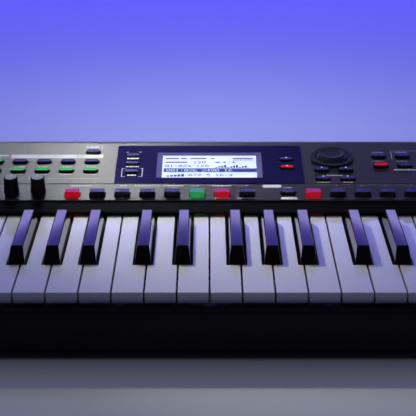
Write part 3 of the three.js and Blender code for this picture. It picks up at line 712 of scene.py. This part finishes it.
for node, (cap, places) in BUTTONS.items():
    buttons = Form()
    xs = [x for x, _ in places]
    rows = [s for _, s in places]
    reach_x, reach_s = cap.width / 2 + CARRIER_MARGIN, cap.depth / 2 + CARRIER_MARGIN
    carrier = span(min(xs) - reach_x, max(xs) + reach_x, min(rows) - reach_s, max(rows) + reach_s)
    buttons.slab(carrier, CARRIER_LOW, CARRIER_HIGH, radius=0.6, top=0.2, look=CARRIER)
    make = tall_cap if cap is TALL else small_cap
    for i, (x, s) in enumerate(places):
        make(buttons, x, s, cap, LIT.get(node, {}).get(i, 0))
    piece("caps_" + node, buttons, CAP_LOOKS, node, [node])


def button_holes(form, beside_screen):
    """The holes for the caps beside the screen, or for all the others."""
    for cap, places in BUTTONS.values():
        if (cap is SCREEN_SIDE) != beside_screen:
            continue
        for x, s in places:
            hole = rectangle(x, s, cap.width + 2 * cap.hole, cap.depth + 2 * cap.hole)
            form.slab(hole, CUT_LOW, CUT_HIGH, radius=cap.corner + 0.3, steps=4)


# Knobs and dial
SHAFT_LOW = -6.3
SHAFT = 3.0
SHAFT_HOLE = 3.6
KNOB_SIDES = 96
FLARE_STEPS = 7
CONTROL_KNOBS = [f"control_knob_{i + 1}" for i in range(4)]


def knob(node, top_radius, foot_radius, height):
    """A flared knob with a silver cap let into its top and a white pointer."""
    x, s = axis_on_panel(node)
    profile = [
        (SHAFT, SHAFT_LOW), (SHAFT, 1.0), (foot_radius - 0.3, 1.0), (foot_radius, 1.3), (foot_radius, 2.4),
    ]
    for k in range(FLARE_STEPS + 1):
        t = k / FLARE_STEPS
        radius = foot_radius + (top_radius - foot_radius) * (1 - (1 - t) ** 2)
        profile.append((radius, 2.6 + (height - 3.4) * t))
    profile += [
        (top_radius - 0.1, height - 0.4), (top_radius - 0.5, height - 0.1), (top_radius - 0.8, height),
    ]
    body = Form()
    body.turned(profile, x, s, KNOB_SIDES)
    piece(node + "_body", body, KNOB, node, [node])
    cap = Form()
    rim = top_radius - 0.85
    lid = [(rim, height - 0.5), (rim, height + 0.12), (rim - 0.3, height + 0.2)]
    cap.turned(lid, x, s, KNOB_SIDES)
    piece(node + "_cap", cap, KNOB_CAP, node)
    pointer = Form()
    stripe = span(x - 0.45, x + 0.45, s + 0.8, s + rim - 0.2)
    pointer.slab(stripe, height - 0.1, height + 0.27, radius=0.2)
    piece(node + "_pointer", pointer, MARKING, node)


for node in CONTROL_KNOBS:
    knob(node, 5.7, 6.3, 15.2)
knob("volume_knob", 8.0, 9.0, 8.7)

DIAL_RADIUS = 18.9
DIAL_SIDES = 128


def value_dial():
    """A low flange, a black groove and a conical knob with a finger dish."""
    x, s = axis_on_panel("value_dial")
    r = DIAL_RADIUS
    shaft_and_flange = [(SHAFT, SHAFT_LOW), (SHAFT, 0.7), (r, 0.7), (r, 1.7), (r - 1.4, 2.0), (r - 4.2, 1.9)]
    groove = [(r - 4.6, 1.1), (r - 5.0, 1.1)]
    cone_and_dish = [(r - 5.4, 2.4), (r - 8.2, 5.0), (r - 9.4, 4.9), (r - 11.6, 4.0), (1.5, 3.7)]
    radii = [0, 0.2, 0.4, 0.5, 0.3, 0, 0, 0.5, 0.8, 0.8, 2.0]
    line = softened(shaft_and_flange + groove + cone_and_dish, radii, 4)
    dial = Form()
    dial.turned([(p.x, p.y) for p in line], x, s, DIAL_SIDES)
    piece("value_dial_body", dial, DIAL, "value_dial", ["value_dial"])


value_dial()


# Upper case
GROOVE, GROOVE_HALF, GROOVE_DEPTH = 28.7, 0.6, 1.1
DISPLAY_HALF, DISPLAY_FRONT, DISPLAY_REAR = 79.9, GROOVE + 1.3, 100.6
END_WIDTH = 3  # of the upper case's closed ends


def arc(a, b, radius, start, end, steps):
    angles = [math.radians(start + (end - start) * k / steps) for k in range(steps + 1)]
    return [(a + radius * math.cos(t), b + radius * math.sin(t)) for t in angles]


def to_panel(y, z):
    dy, dz = y - PANEL_Y, z - PANEL_Z
    return dy * COS + dz * SIN, dz * COS - dy * SIN


def crown(depth):
    """The upper case's quarter-round crown and rear wall, at a depth below its surface, as y and z."""
    _, y, z = on_panel(0, PANEL_LENGTH, 0)
    radius = (HALF_D - y) / (1 + SIN)
    slope = math.degrees(math.asin(SIN))
    curve = arc(HALF_D - radius, z - radius * COS, radius - depth, 90 + slope, 0, 18)
    return [to_panel(*p) for p in curve + [(HALF_D - depth, PARTING_Z + SEAM)]]


def upper_case():
    """The silver upper case with its groove and openings, and its two closed ends."""
    edge, floor = GROOVE_HALF, -GROOVE_DEPTH
    groove = [(GROOVE - edge, 0), (GROOVE - edge, floor), (GROOVE + edge, floor), (GROOVE + edge, 0)]
    lip = [(3.2, -PANEL_THICKNESS), (3.2, -1.0), (0.3, -1.0), (0.0, -0.7), (0.0, -0.35), (0.35, 0)]
    whole = lip + groove + crown(0) + crown(PANEL_THICKNESS)[::-1]
    inner = HALF_W - END_WIDTH
    body = Form()
    body.skin([[panel_along_x(s, h, x) for s, h in whole] for x in (-inner, inner)])
    tools = Form()
    button_holes(tools, beside_screen=False)
    for node in [*CONTROL_KNOBS, "volume_knob", "value_dial"]:
        x, s = axis_on_panel(node)
        tools.turned([(SHAFT_HOLE, CUT_LOW), (SHAFT_HOLE, CUT_HIGH)], x, s, 32)
    opening = span(-DISPLAY_HALF - SEAM, DISPLAY_HALF + SEAM, DISPLAY_FRONT - SEAM, DISPLAY_REAR + SEAM)
    tools.slab(opening, CUT_LOW, CUT_HIGH, radius=0.8)
    mesh = cut_out(body, tools, "upper_case")
    piece_from_mesh("upper_case", mesh, SILVER, "case", ["top_panel"], PANEL_CREASE)
    ends = Form()
    cheek = [to_panel(FASCIA_Y, PARTING_Z + SEAM), to_panel(FASCIA_Y, KEY_TOP + 3.8)]
    outer = outline_of([(0.35, 0), *crown(0), *cheek])
    for x0, x1, rounding in ((-HALF_W, -inner, {"bottom": 1.4}), (inner, HALF_W, {"top": 1.4})):
        ends.slab(outer, x0, x1, place=panel_along_x, **rounding)
    piece("upper_case_ends", ends, SILVER, "case", crease=PANEL_CREASE)


upper_case()


# Display
WINDOW_HALF, WINDOW_FRONT, WINDOW_REAR = 45.2, 39.7, 87.3
LCD_HALF_W, LCD_FRONT, LCD_REAR = 40.5, 39.9, 84.8
DISPLAY_TOP, DISPLAY_UNDERSIDE = 0.3, -1.3


def display():
    """The navy display panel with its window, and the sloping bezel down to the screen."""
    panel, tools = Form(), Form()
    plate = span(-DISPLAY_HALF, DISPLAY_HALF, DISPLAY_FRONT, DISPLAY_REAR)
    panel.slab(plate, DISPLAY_UNDERSIDE, DISPLAY_TOP, radius=0.7, top=0.25)
    window = span(-WINDOW_HALF, WINDOW_HALF, WINDOW_FRONT, WINDOW_REAR)
    tools.slab(window, CUT_LOW, CUT_HIGH, radius=0.6)
    button_holes(tools, beside_screen=True)
    mesh = cut_out(panel, tools, "display_front")
    piece_from_mesh("display_front", mesh, NAVY, "case", ["display_panel"])
    bezel = Form()
    outer = span(-WINDOW_HALF + 0.05, WINDOW_HALF - 0.05, WINDOW_FRONT + 0.05, WINDOW_REAR - 0.05)
    inner = span(-LCD_HALF_W, LCD_HALF_W, LCD_FRONT, LCD_REAR)
    levels = [
        (outer, DISPLAY_UNDERSIDE), (outer, DISPLAY_TOP - 0.15), (inner, -1.0), (inner, DISPLAY_UNDERSIDE),
    ]
    bezel.skin([[on_panel(p.x, p.y, h) for p in corners] for corners, h in levels], loop=True)
    piece("window_bezel", bezel, BEZEL, "case")


display()


# Marks on the display, drawn on its 128 by 64 dots. Each digit is five dots wide and seven high.
DIGITS = {
    "0": "01110 10001 10011 10101 11001 10001 01110",
    "1": "00100 01100 00100 00100 00100 00100 01110",
    "2": "01110 10001 00001 00110 01000 10000 11111",
    "3": "11110 00001 00001 01110 00001 00001 11110",
    "4": "00010 00110 01010 10010 11111 00010 00010",
    "5": "11111 10000 11110 00001 00001 10001 01110",
    "6": "00110 01000 10000 11110 10001 10001 01110",
    "7": "11111 00001 00010 00100 01000 01000 01000",
    "8": "01110 10001 10001 01110 10001 10001 01110",
    "9": "01110 10001 10001 01111 00001 00010 01100",
    ":": "00000 00100 00100 00000 00100 00100 00000",
    "-": "00000 00000 00000 11111 00000 00000 00000",
    "/": "00001 00001 00010 00100 01000 10000 10000",
    " ": "00000 00000 00000 00000 00000 00000 00000",
}
DOTS_ACROSS, DOTS_UP = 128, 64
DOT = 2 * LCD_HALF_W / DOTS_ACROSS
MARGIN = (LCD_REAR - LCD_FRONT - DOTS_UP * DOT) / 2
INK_LOW, INK_HIGH = -2.3, -2.22
SCREEN_LOW, SCREEN_HIGH = -2.38, -2.31
DIGIT_PITCH = 6


def dots(form, column, row, width, height):
    """A block of dots, counted from the display's top left corner."""
    x = -LCD_HALF_W + column * DOT
    s = LCD_REAR - MARGIN - row * DOT
    form.slab(span(x, x + width * DOT, s - height * DOT, s), INK_LOW, INK_HIGH)


def runs(bits):
    """The start and length of each run of ones."""
    start = None
    for i, bit in enumerate(bits + "0"):
        if bit == "1" and start is None:
            start = i
        elif bit == "0" and start is not None:
            yield start, i - start
            start = None


def digits(form, text, column, row, clear=False):
    """Plain characters, or the dots round them where they stay clear."""
    for i, mark in enumerate(text):
        for line, bits in enumerate(DIGITS[mark].split()):
            if clear:
                bits = "".join("1" if b == "0" else "0" for b in bits) + "1"
            for start, length in runs(bits):
                dots(form, column + i * DIGIT_PITCH + start, row + line, length, 1)


def display_marks():
    """Generic marks: level blocks, numbers, one line picked out in reverse, and a row of steps."""
    ink = Form()
    for column, width in ((4, 18), (25, 8), (38, 22), (66, 5), (96, 28)):
        dots(ink, column, 3, width, 3)
    for column in range(97, 124, 3):
        dots(ink, column, 8, 2, 2)
    for column, width in ((4, 30), (72, 7)):
        dots(ink, column, 14, width, 3)
    digits(ink, "120", 42, 12)
    digits(ink, "4/4", 82, 12)
    digits(ink, "01:024-128", 4, 23)
    for step in range(11):
        dots(ink, 72 + step * 4, 30 - step % 4 * 2, 3, 2 + step % 4 * 2)
    line = "001:036 2480 16"
    dots(ink, 2, 34, 126, 2)
    dots(ink, 2, 43, 126, 2)
    dots(ink, 2, 36, 4, 7)
    digits(ink, line, 6, 36, clear=True)
    length = DIGIT_PITCH * len(line)
    dots(ink, 6 + length, 36, 122 - length, 7)
    digits(ink, "072 5 16:9", 36, 50)
    for step in range(5):
        dots(ink, 6 + step * 5, 55 - step, 4, 3 + step)
    piece("screen_marks", ink, INK, "case")


display_marks()
glass = Form()
glass.slab(
    span(-LCD_HALF_W - 1, LCD_HALF_W + 1, LCD_FRONT - 1, LCD_REAR + 1), SCREEN_LOW, SCREEN_HIGH,
)
piece("screen_face", glass, SCREEN, "case")


# Printed markings: bars, brackets and plain numbers, a hair above the panel
PRINT_LOW, PRINT_HIGH = -0.05, 0.035
NUMBER_SIZE = 3
printed = Form()


def bar(x0, x1, s0, s1, raised=0.0, form=printed, radius=0.0):
    form.slab(span(x0, x1, s0, s1), PRINT_LOW + raised, PRINT_HIGH + raised, radius)


def number(text, x, s):
    """A plain number centred on a point of the panel."""
    data = bpy.data.curves.new("number", "FONT")
    data.body = text
    data.size = NUMBER_SIZE
    data.align_x = "CENTER"
    data.align_y = "CENTER"
    data.resolution_u = 3
    data.extrude = (PRINT_HIGH - PRINT_LOW) / 2
    obj = added("number", data)
    mesh = bpy.data.meshes.new_from_object(obj.evaluated_get(bpy.context.evaluated_depsgraph_get()))
    middle = (PRINT_HIGH + PRINT_LOW) / 2
    start = len(printed.points)
    printed.points += [on_panel(x + v.co.x, s + v.co.y, middle + v.co.z) for v in mesh.vertices]
    printed.faces += [tuple(start + i for i in face.vertices) for face in mesh.polygons]
    printed.looks += [0] * len(mesh.polygons)
    bpy.data.objects.remove(obj)
    bpy.data.curves.remove(data)
    bpy.data.meshes.remove(mesh)


def dashes(x0, x1, s, height=1.1, raised=0.0, form=printed):
    """A generic label: a run of short dashes."""
    lengths = (1.7, 1.0, 2.3, 1.3)
    x, i = x0, 0
    while x < x1 - 0.3:
        end = min(x + lengths[i % 4], x1)
        bar(x, end, s - height / 2, s + height / 2, raised, form)
        x, i = end + 0.4, i + 1


def markings():
    """Label bars, runs of dashes, brackets and numbers where the object has its labels."""
    # Upper left: label bars over the two groups, labels under each row, and a line from the knobs
    bar(-172.5, -92.4, 76.7, 83.6)
    bar(-252, -174.8, 80.1, 83.1)
    for x in columns(-245.7, 8):
        dashes(x - 4.2, x + 4.2, 61)
        dashes(x - 4.8, x + 4.8, 45.6)
    dashes(-108.4, -97, 98, 2.6)
    bar(-109.2, -94.4, 100.6, 101.1)
    bar(-94.6, -94.1, 92.1, 101.1)
    printed.slab(
        [Vector(p) for p in ((-160.4, 37.2), (-159.6, 37.2), (-155.8, 41.6), (-156.6, 41.6))],
        PRINT_LOW, PRINT_HIGH,
    )
    bar(-152.4, -151.6, 36.8, 42)
    bar(-138.6, -92.7, 38.2, 38.7)
    # Lower strip: labels above and below the buttons
    bar(-117.5, -92, 26.6, 26.8)
    for x0, x1 in (
        (-115.4, -98.6), (-74.7, -69), (-62.5, -41.5), (-38.6, -21.8), (-14.4, -8.3), (2.4, 18.5),
        (30.4, 31.9),
    ):
        dashes(x0, x1, 25.3, 1.4)
    for x0, x1 in ((-73.2, -70.2), (-12.4, -7.7), (4.1, 17.6), (23.2, 38.4)):
        dashes(x0, x1, 3.6, 1.3)
    for x in columns(106.5, 7):
        bar(x - 0.5, x + 0.5, 25, 26)
    bar(82, 230, 26.9, 27.1)
    bar(82, 230, 3.7, 3.9)
    bar(44.3, 60.1, 22, 27.1, radius=1.4)
    dashes(61.6, 68.7, 22, 1.2)
    bar(58.5, 72.2, 1.4, 5.3, radius=1.4)
    # Around the dial and at the right
    dashes(99.4, 113.6, 44.2)
    for x0, x1 in ((90.4, 101.4), (112.3, 120.9)):
        dashes(x0, x1, 31.7)
    for x in columns(147.4, 4):
        dashes(x - 5, x + 4.6, 88)
        dashes(x - 6.3, x + 3.8, 71)
    for sides in ((158.1, 222, 90.5, 90.9), (158.3, 158.7, 74, 90.7), (221.6, 222, 74, 90.7)):
        bar(*sides)
    dashes(158, 200, 54.6, 2.6)
    number("0", -488, 70.6)
    for i, x in enumerate((-451.5, -440, -428.5)):
        number(str(i * 5), x, 74 if i == 1 else 47.5)
    piece("printed_marks", printed, MARKING, "case")
    # On the display panel, beside its buttons
    side = Form()
    for x0, x1, s0, s1 in ((-71.4, -61, 74, 77), (-71.5, -60.3, 58.6, 61.3), (-69.8, -62.1, 42.7, 45.3)):
        dashes(x0, x1, (s0 + s1) / 2, s1 - s0 - 0.6, DISPLAY_TOP, side)
    front, rear = 41.4, 56.6
    for edge, reach in ((-74.5, 3), (-57.2, -3)):
        bar(edge - 0.3, edge + 0.3, front, rear, DISPLAY_TOP, side)
        for s in (front, rear):
            bar(min(edge, edge + reach), max(edge, edge + reach), s - 0.25, s + 0.25, DISPLAY_TOP, side)
    for x in (-71.6, -60.5):
        bar(x - 1.1, x + 1.1, 87.4, 88.2, DISPLAY_TOP, side)
    piece("display_side_marks", side, MARKING, "case")


markings()


def indicators(node, name, offset):
    """Small lights let into the rear edges of a group's caps."""
    cap, places = BUTTONS[node]
    top = cap.height
    for i, (x, s) in enumerate(places):
        dot = Form()
        dot.turned([(0.75, top - 0.6), (0.75, top + 0.1), (0.5, top + 0.25)], x, s + offset, 20)
        piece(f"{name}_{i + 1}", dot, LIGHT_DOT, node)


indicators("cursor_buttons", "cursor_light", 1.6)
indicators("page_buttons", "page_light", 1.2)


# Front rail and end blocks
RAIL_DROP = 10  # of the rail's top below the white keys
RAIL_NOSE = 2.4
BLOCK_NOSE = 6.5
SHARP = 0.3


def rail():
    """The black rail in front of the keys, rounded along its upper front edge."""
    ledge = KEY_TOP - RAIL_DROP
    corners = outline_of(
        [(RAIL_LOW.y, RAIL_LOW.z), (RAIL_HIGH.y, RAIL_LOW.z), (RAIL_HIGH.y, ledge), (RAIL_LOW.y, ledge)]
    )
    radii = [SHARP if p.y < ledge or p.x > RAIL_LOW.y + 1 else RAIL_NOSE for p in corners]
    ring = rounded(corners, radii, 8)
    form = Form()
    form.skin([[along_x(p.x, p.y, x) for p in ring] for x in (RAIL_LOW.x, RAIL_HIGH.x)])
    piece("rail_front", form, CASE_BLACK, "case", ["front_rail"])


rail()


def end_block(node, well=None):
    """A black block beside the keys, with a rounded upper front edge and at will a well in its top."""
    low, high = box_mm(node)
    corners = outline_of([(low.y, low.z), (high.y, low.z), (high.y, high.z), (low.y, high.z)])
    radii = [BLOCK_NOSE if p.x < low.y + 1 and p.y > high.z - 1 else SHARP for p in corners]
    levels = []
    edge = 1.2
    steps = 4
    for k in range(steps + 1):
        t = math.pi / 2 * k / steps
        levels.append((edge * (1 - math.sin(t)), low.x + edge * (1 - math.cos(t))))
    levels += [(distance, low.x + high.x - x) for distance, x in reversed(levels)]
    form = Form()
    rings = []
    for distance, x in levels:
        ring = rounded(inset(corners, distance), [max(r - distance, 0.02) for r in radii], 8)
        rings.append([along_x(p.x, p.y, x) for p in ring])
    form.skin(rings)
    if well is None:
        piece(node + "_shell", form, CASE_BLACK, "case", [node])
        return
    tools = Form()
    tools.slab(well, low.z + 6, high.z + 5, place=upright)
    mesh = cut_out(form, tools, node + "_shell")
    piece_from_mesh(node + "_shell", mesh, CASE_BLACK, "case", [node])


STICK_X, STICK_Y, STICK_Z = (c / MM for c in joint_of("joystick_stick")["pos_m"])
end_block("left_end_block", rectangle(STICK_X, STICK_Y, 50, 50))
end_block("right_end_block")


# Joystick
def stick_place(x, y, z):
    return (STICK_X + x, STICK_Y + y, STICK_Z + z)


def bowl(radius, degrees):
    """Radius and height of points on a dome, by their angle from its axis."""
    return [(radius * math.sin(math.radians(a)), radius * math.cos(math.radians(a))) for a in degrees]


DOME_OUTSIDE, DOME_INSIDE = 15, 13.7


def joystick():
    """The housing with its round opening, the posts of the gimbal, and the domed stick with its pin."""
    rise = box_mm("left_end_block")[1].z - STICK_Z
    housing, tools = Form(), Form()
    rim = rectangle(0, 0, 60, 60)
    housing.slab(rim, rise + 0.3, rise + 1.5, radius=5, top=0.9, place=stick_place, steps=6)
    housing.slab(rectangle(0, 0, 48, 48), -22, rise + 0.8, radius=1.5, place=stick_place)
    tools.slab(rectangle(0, 0, 43, 43), -19.5, rise - 2, place=stick_place)
    opening = [(13.4, 0), (13.4, rise + 0.9), (14.6, rise + 1.6), (14.6, rise + 4)]
    tools.turned(opening, 0, 0, 64, stick_place)
    mesh = cut_out(housing, tools, "joystick_housing")
    piece_from_mesh("joystick_housing", mesh, KNOB, "case", ["joystick_base"])
    posts, bearing = Form(), Form()
    for y in (-19.5, 19.5):
        posts.slab(rectangle(0, y, 7, 5), -20, 3, radius=0.5, top=0.5, place=stick_place)
    bearing.skin([[stick_place(p.x, y, p.y) for p in circle(0, 0, 1.5, 24)] for y in (-24, 24)])
    mesh = cut_out(posts, bearing, "joystick_posts")
    piece_from_mesh("joystick_posts", mesh, KNOB, "case", ["joystick_base"])
    dome = bowl(DOME_OUTSIDE, range(64, 12, -4))
    under = [(3, -12), (3, 11.5), *bowl(DOME_INSIDE, range(14, 66, 6))]
    neck = softened(
        [dome[-1], (3.1, 19), (4.3, 23.5), (6.3, 28), (6.4, 32.5), (4.6, 36), (1.0, 37)], [3, 4, 3, 2, 2], 4,
    )
    stick = Form()
    stick.turned(under + dome + [(p.x, p.y) for p in neck[1:]], 0, 0, 64, stick_place)
    stick.skin([[stick_place(x, p.x, p.y) for p in circle(0, 0, 1.25, 24)] for x in (-10.6, 10.6)])
    piece("joystick_lever", stick, KNOB, "joystick_stick", ["joystick_stick"])


joystick()


# Pieces that keep the shapes of their solids get their finishes here
CARRIED = {
    "lower_case": CASE_BLACK,
    "key_fascia": FASCIA,
    "display_lens": LENS,
    "display_module": DARK,
    "key_chassis": STEEL,
    "key_contact_board": BOARD,
    "panel_board": BOARD,
    "main_board": BOARD,
    "usb_port": STEEL,
    "power_inlet": CONNECTOR,
    "joystick_gimbal": STEEL,
}
JACKS = [name for name in frame["nodes"] if name.startswith("jack_")]
FEET = [name for name in frame["nodes"] if name.startswith("foot_")]
for node, look in CARRIED.items():
    materials = frame["nodes"][node].data.materials
    materials.clear()
    materials.append(look)

for node in FEET:
    low, high = box_mm(node)
    middle = (low + high) / 2
    radius = (high.x - low.x) / 2
    foot = Form()
    foot.turned(
        [(radius - 5, 0.6), (radius - 4.6, 0.0), (radius - 1.4, 0.0), (radius - 0.5, 0.3), (radius, 1.2),
         (radius, high.z)],
        middle.x, middle.y, 64, upright,
    )
    piece(node + "_pad", foot, RUBBER, "case", [node])


# Rear sockets: each jack is a round body with a threaded collar and a metal sleeve in its bore
def facing_rear(x, z, y):
    return (x, y, z)


JACK_Z = sum(c.z for c in box_mm("jack_headphones")) / 2
for node in JACKS:
    low, high = box_mm(node)
    x = (low.x + high.x) / 2
    collar = 5.5
    threads = [(collar - (0.35 if k % 2 else 0), HALF_D - 3.2 + 0.35 * k) for k in range(8)]
    jack = Form()
    jack.turned(
        [(7.8, low.y), (7.8, HALF_D - 3.4), *threads, (5.2, HALF_D), (3.8, HALF_D), (3.4, HALF_D - 0.4),
         (3.4, low.y + 3)],
        x, JACK_Z, 48, facing_rear,
    )
    piece(node + "_body", jack, CONNECTOR, "case", [node])
    sleeve = Form()
    sleeve.turned(
        [(3.1, HALF_D - 8), (3.38, HALF_D - 8), (3.38, HALF_D - 0.9), (3.1, HALF_D - 1.2)],
        x, JACK_Z, 48, facing_rear, loop=True,
    )
    piece(node + "_sleeve", sleeve, STEEL, "case")


# Screws: plain pan heads on the underside
def below_case(a, b, h):
    return (a, b, CASE_LOW.z - h)


SCREW_HEAD = [(3.0, 0.0), (3.0, 0.35), (2.58, 0.75), (1.5, 0.95)]
screws = Form()
for x in (-480, -300, -100, 100, 300, 480):
    for y in (-120, -20, 80, 132):
        screws.turned(SCREW_HEAD, x, y, 32, below_case)
piece("underside_screws", screws, STEEL, "case")


# Floor, world and lamps
def ramp_nodes(tree, value, stops):
    """A smooth run of colours along a value."""
    ramp = tree.nodes.new("ShaderNodeValToRGB")
    ramp.color_ramp.elements.remove(ramp.color_ramp.elements[1])
    first = ramp.color_ramp.elements[0]
    first.position = stops[0][0]
    first.color = (*stops[0][1], 1)
    for position, colour in stops[1:]:
        ramp.color_ramp.elements.new(position).color = (*colour, 1)
    tree.links.new(value, ramp.inputs["Fac"])
    return ramp.outputs["Color"]


FLOOR_SIDE = 60  # metres


def make_floor():
    mesh = bpy.data.meshes.new("floor")
    corners = [(p.x, p.y, 0) for p in rectangle(0, 0, FLOOR_SIDE, FLOOR_SIDE)]
    mesh.from_pydata(corners, [], [(0, 1, 2, 3)])
    obj = added("floor", mesh)
    mesh.materials.append(principled("floor", (0.78, 0.81, 0.86), 0.7))


# What gloss sees of the studio, by the sine of the angle above the horizon: a narrow violet strip low
# down in an otherwise dark room
GLOSS_BAND = (
    (0.0, (0.003, 0.003, 0.008)), (0.330, (0.010, 0.009, 0.030)), (0.350, (0.20, 0.17, 0.44)),
    (0.366, (0.38, 0.32, 0.84)), (0.374, (0.075, 0.064, 0.36)), (0.385, (0.038, 0.033, 0.25)),
    (0.400, (0.022, 0.019, 0.14)), (0.415, (0.005, 0.004, 0.025)), (0.47, (0.003, 0.003, 0.008)),
    (0.53, (0.004, 0.004, 0.006)), (0.72, (0.002, 0.002, 0.004)), (0.88, (0.006, 0.006, 0.010)),
)
BAND_GLOW = 4.0
AMBIENT = (0.012, 0.012, 0.020)


def make_world():
    """A studio that gloss sees as a band of colours and all else as an even ambient light."""
    world = bpy.data.worlds.new("world")
    scene.world = world
    world.use_nodes = True
    tree = world.node_tree
    where = tree.nodes.new("ShaderNodeTexCoord")
    split = tree.nodes.new("ShaderNodeSeparateXYZ")
    tree.links.new(where.outputs["Generated"], split.inputs["Vector"])
    band = ramp_nodes(tree, split.outputs["Z"], GLOSS_BAND)
    path = tree.nodes.new("ShaderNodeLightPath")
    seen = tree.nodes.new("ShaderNodeMath")
    seen.operation = "MAXIMUM"
    tree.links.new(path.outputs["Is Glossy Ray"], seen.inputs[0])
    tree.links.new(path.outputs["Is Transmission Ray"], seen.inputs[1])
    glow = tree.nodes.new("ShaderNodeVectorMath")
    glow.operation = "SCALE"
    glow.inputs["Scale"].default_value = BAND_GLOW
    tree.links.new(band, glow.inputs[0])
    ambient, reflected, result = colour_mix(tree, seen.outputs[0])
    ambient.default_value = (*AMBIENT, 1)
    tree.links.new(glow.outputs["Vector"], reflected)
    tree.links.new(result, tree.nodes["Background"].inputs["Color"])


def aimed(name, data, at, aim, power, colour):
    data.energy = power
    data.color = colour
    lamp = added(name, data)
    lamp.location = at
    lamp.rotation_euler = (Vector(aim) - Vector(at)).to_track_quat("-Z", "Y").to_euler()
    lamp.visible_camera = False
    return lamp


def softbox(name, at, aim, size, power, colour):
    data = bpy.data.lights.new(name, "AREA")
    data.shape = "RECTANGLE"
    data.size, data.size_y = size
    return aimed(name, data, at, aim, power, colour)


def pool(name, at, aim, spread, radius, power, colour):
    """A soft-edged round pool of light."""
    data = bpy.data.lights.new(name, "SPOT")
    data.spot_size = math.radians(spread)
    data.spot_blend = 1.0
    data.shadow_soft_size = radius
    return aimed(name, data, at, aim, power, colour)


make_floor()
make_world()
KEY_LAMP_AT = (-0.19, 0.29, 0.43)
for lamp in (
    softbox("fill_softbox", (0, 1.9, 1.5), (0, 0.2, 0), (3.0, 1.6), 14.0, (0.13, 0.14, 1.0)),
    softbox("low_softbox", (0, 1.5, 0.62), (0, 0, 0.05), (2.4, 0.3), 16.3, (0.03, 0.02, 1.0)),
    softbox("top_softbox", (0, 0.1, 1.6), (0, 0, 0), (2.0, 2.0), 5.2, (0.73, 0.72, 1.0)),
    pool("key_lamp", KEY_LAMP_AT, (-0.01, 0.01, 0.05), 36, 0.014, 5.0, (1.0, 0.97, 0.90)),
    pool("key_lamp_edge", KEY_LAMP_AT, (-0.02, -0.02, 0.05), 56, 0.014, 2.2, (0.9, 1.0, 0.1)),
    pool("label_lamp", (-0.10, 0.42, 0.5), (-0.08, 0.14, 0.06), 34, 0.03, 4.0, (1.0, 1.0, 0.92)),
    softbox("floor_glow", (0.0, 0.34, 0.40), (0.0, 0.34, 0), (0.4, 0.1), 0.65, (0.66, 0.76, 1.0)),
):
    lamp.visible_glossy = False
for lamp in (
    pool("panel_reflector", (-0.14, 0.5, 0.5), (-0.05, 0.26, 0.06), 50, 0.03, 1.85, (0.9, 0.9, 1.0)),
    pool("rear_reflector", (-0.3, 0.6, 0.52), (-0.12, 0.1, 0.06), 40, 0.03, 0.3, (0.8, 0.88, 1.0)),
):
    lamp.visible_diffuse = False
scene.view_settings.view_transform = "Standard"
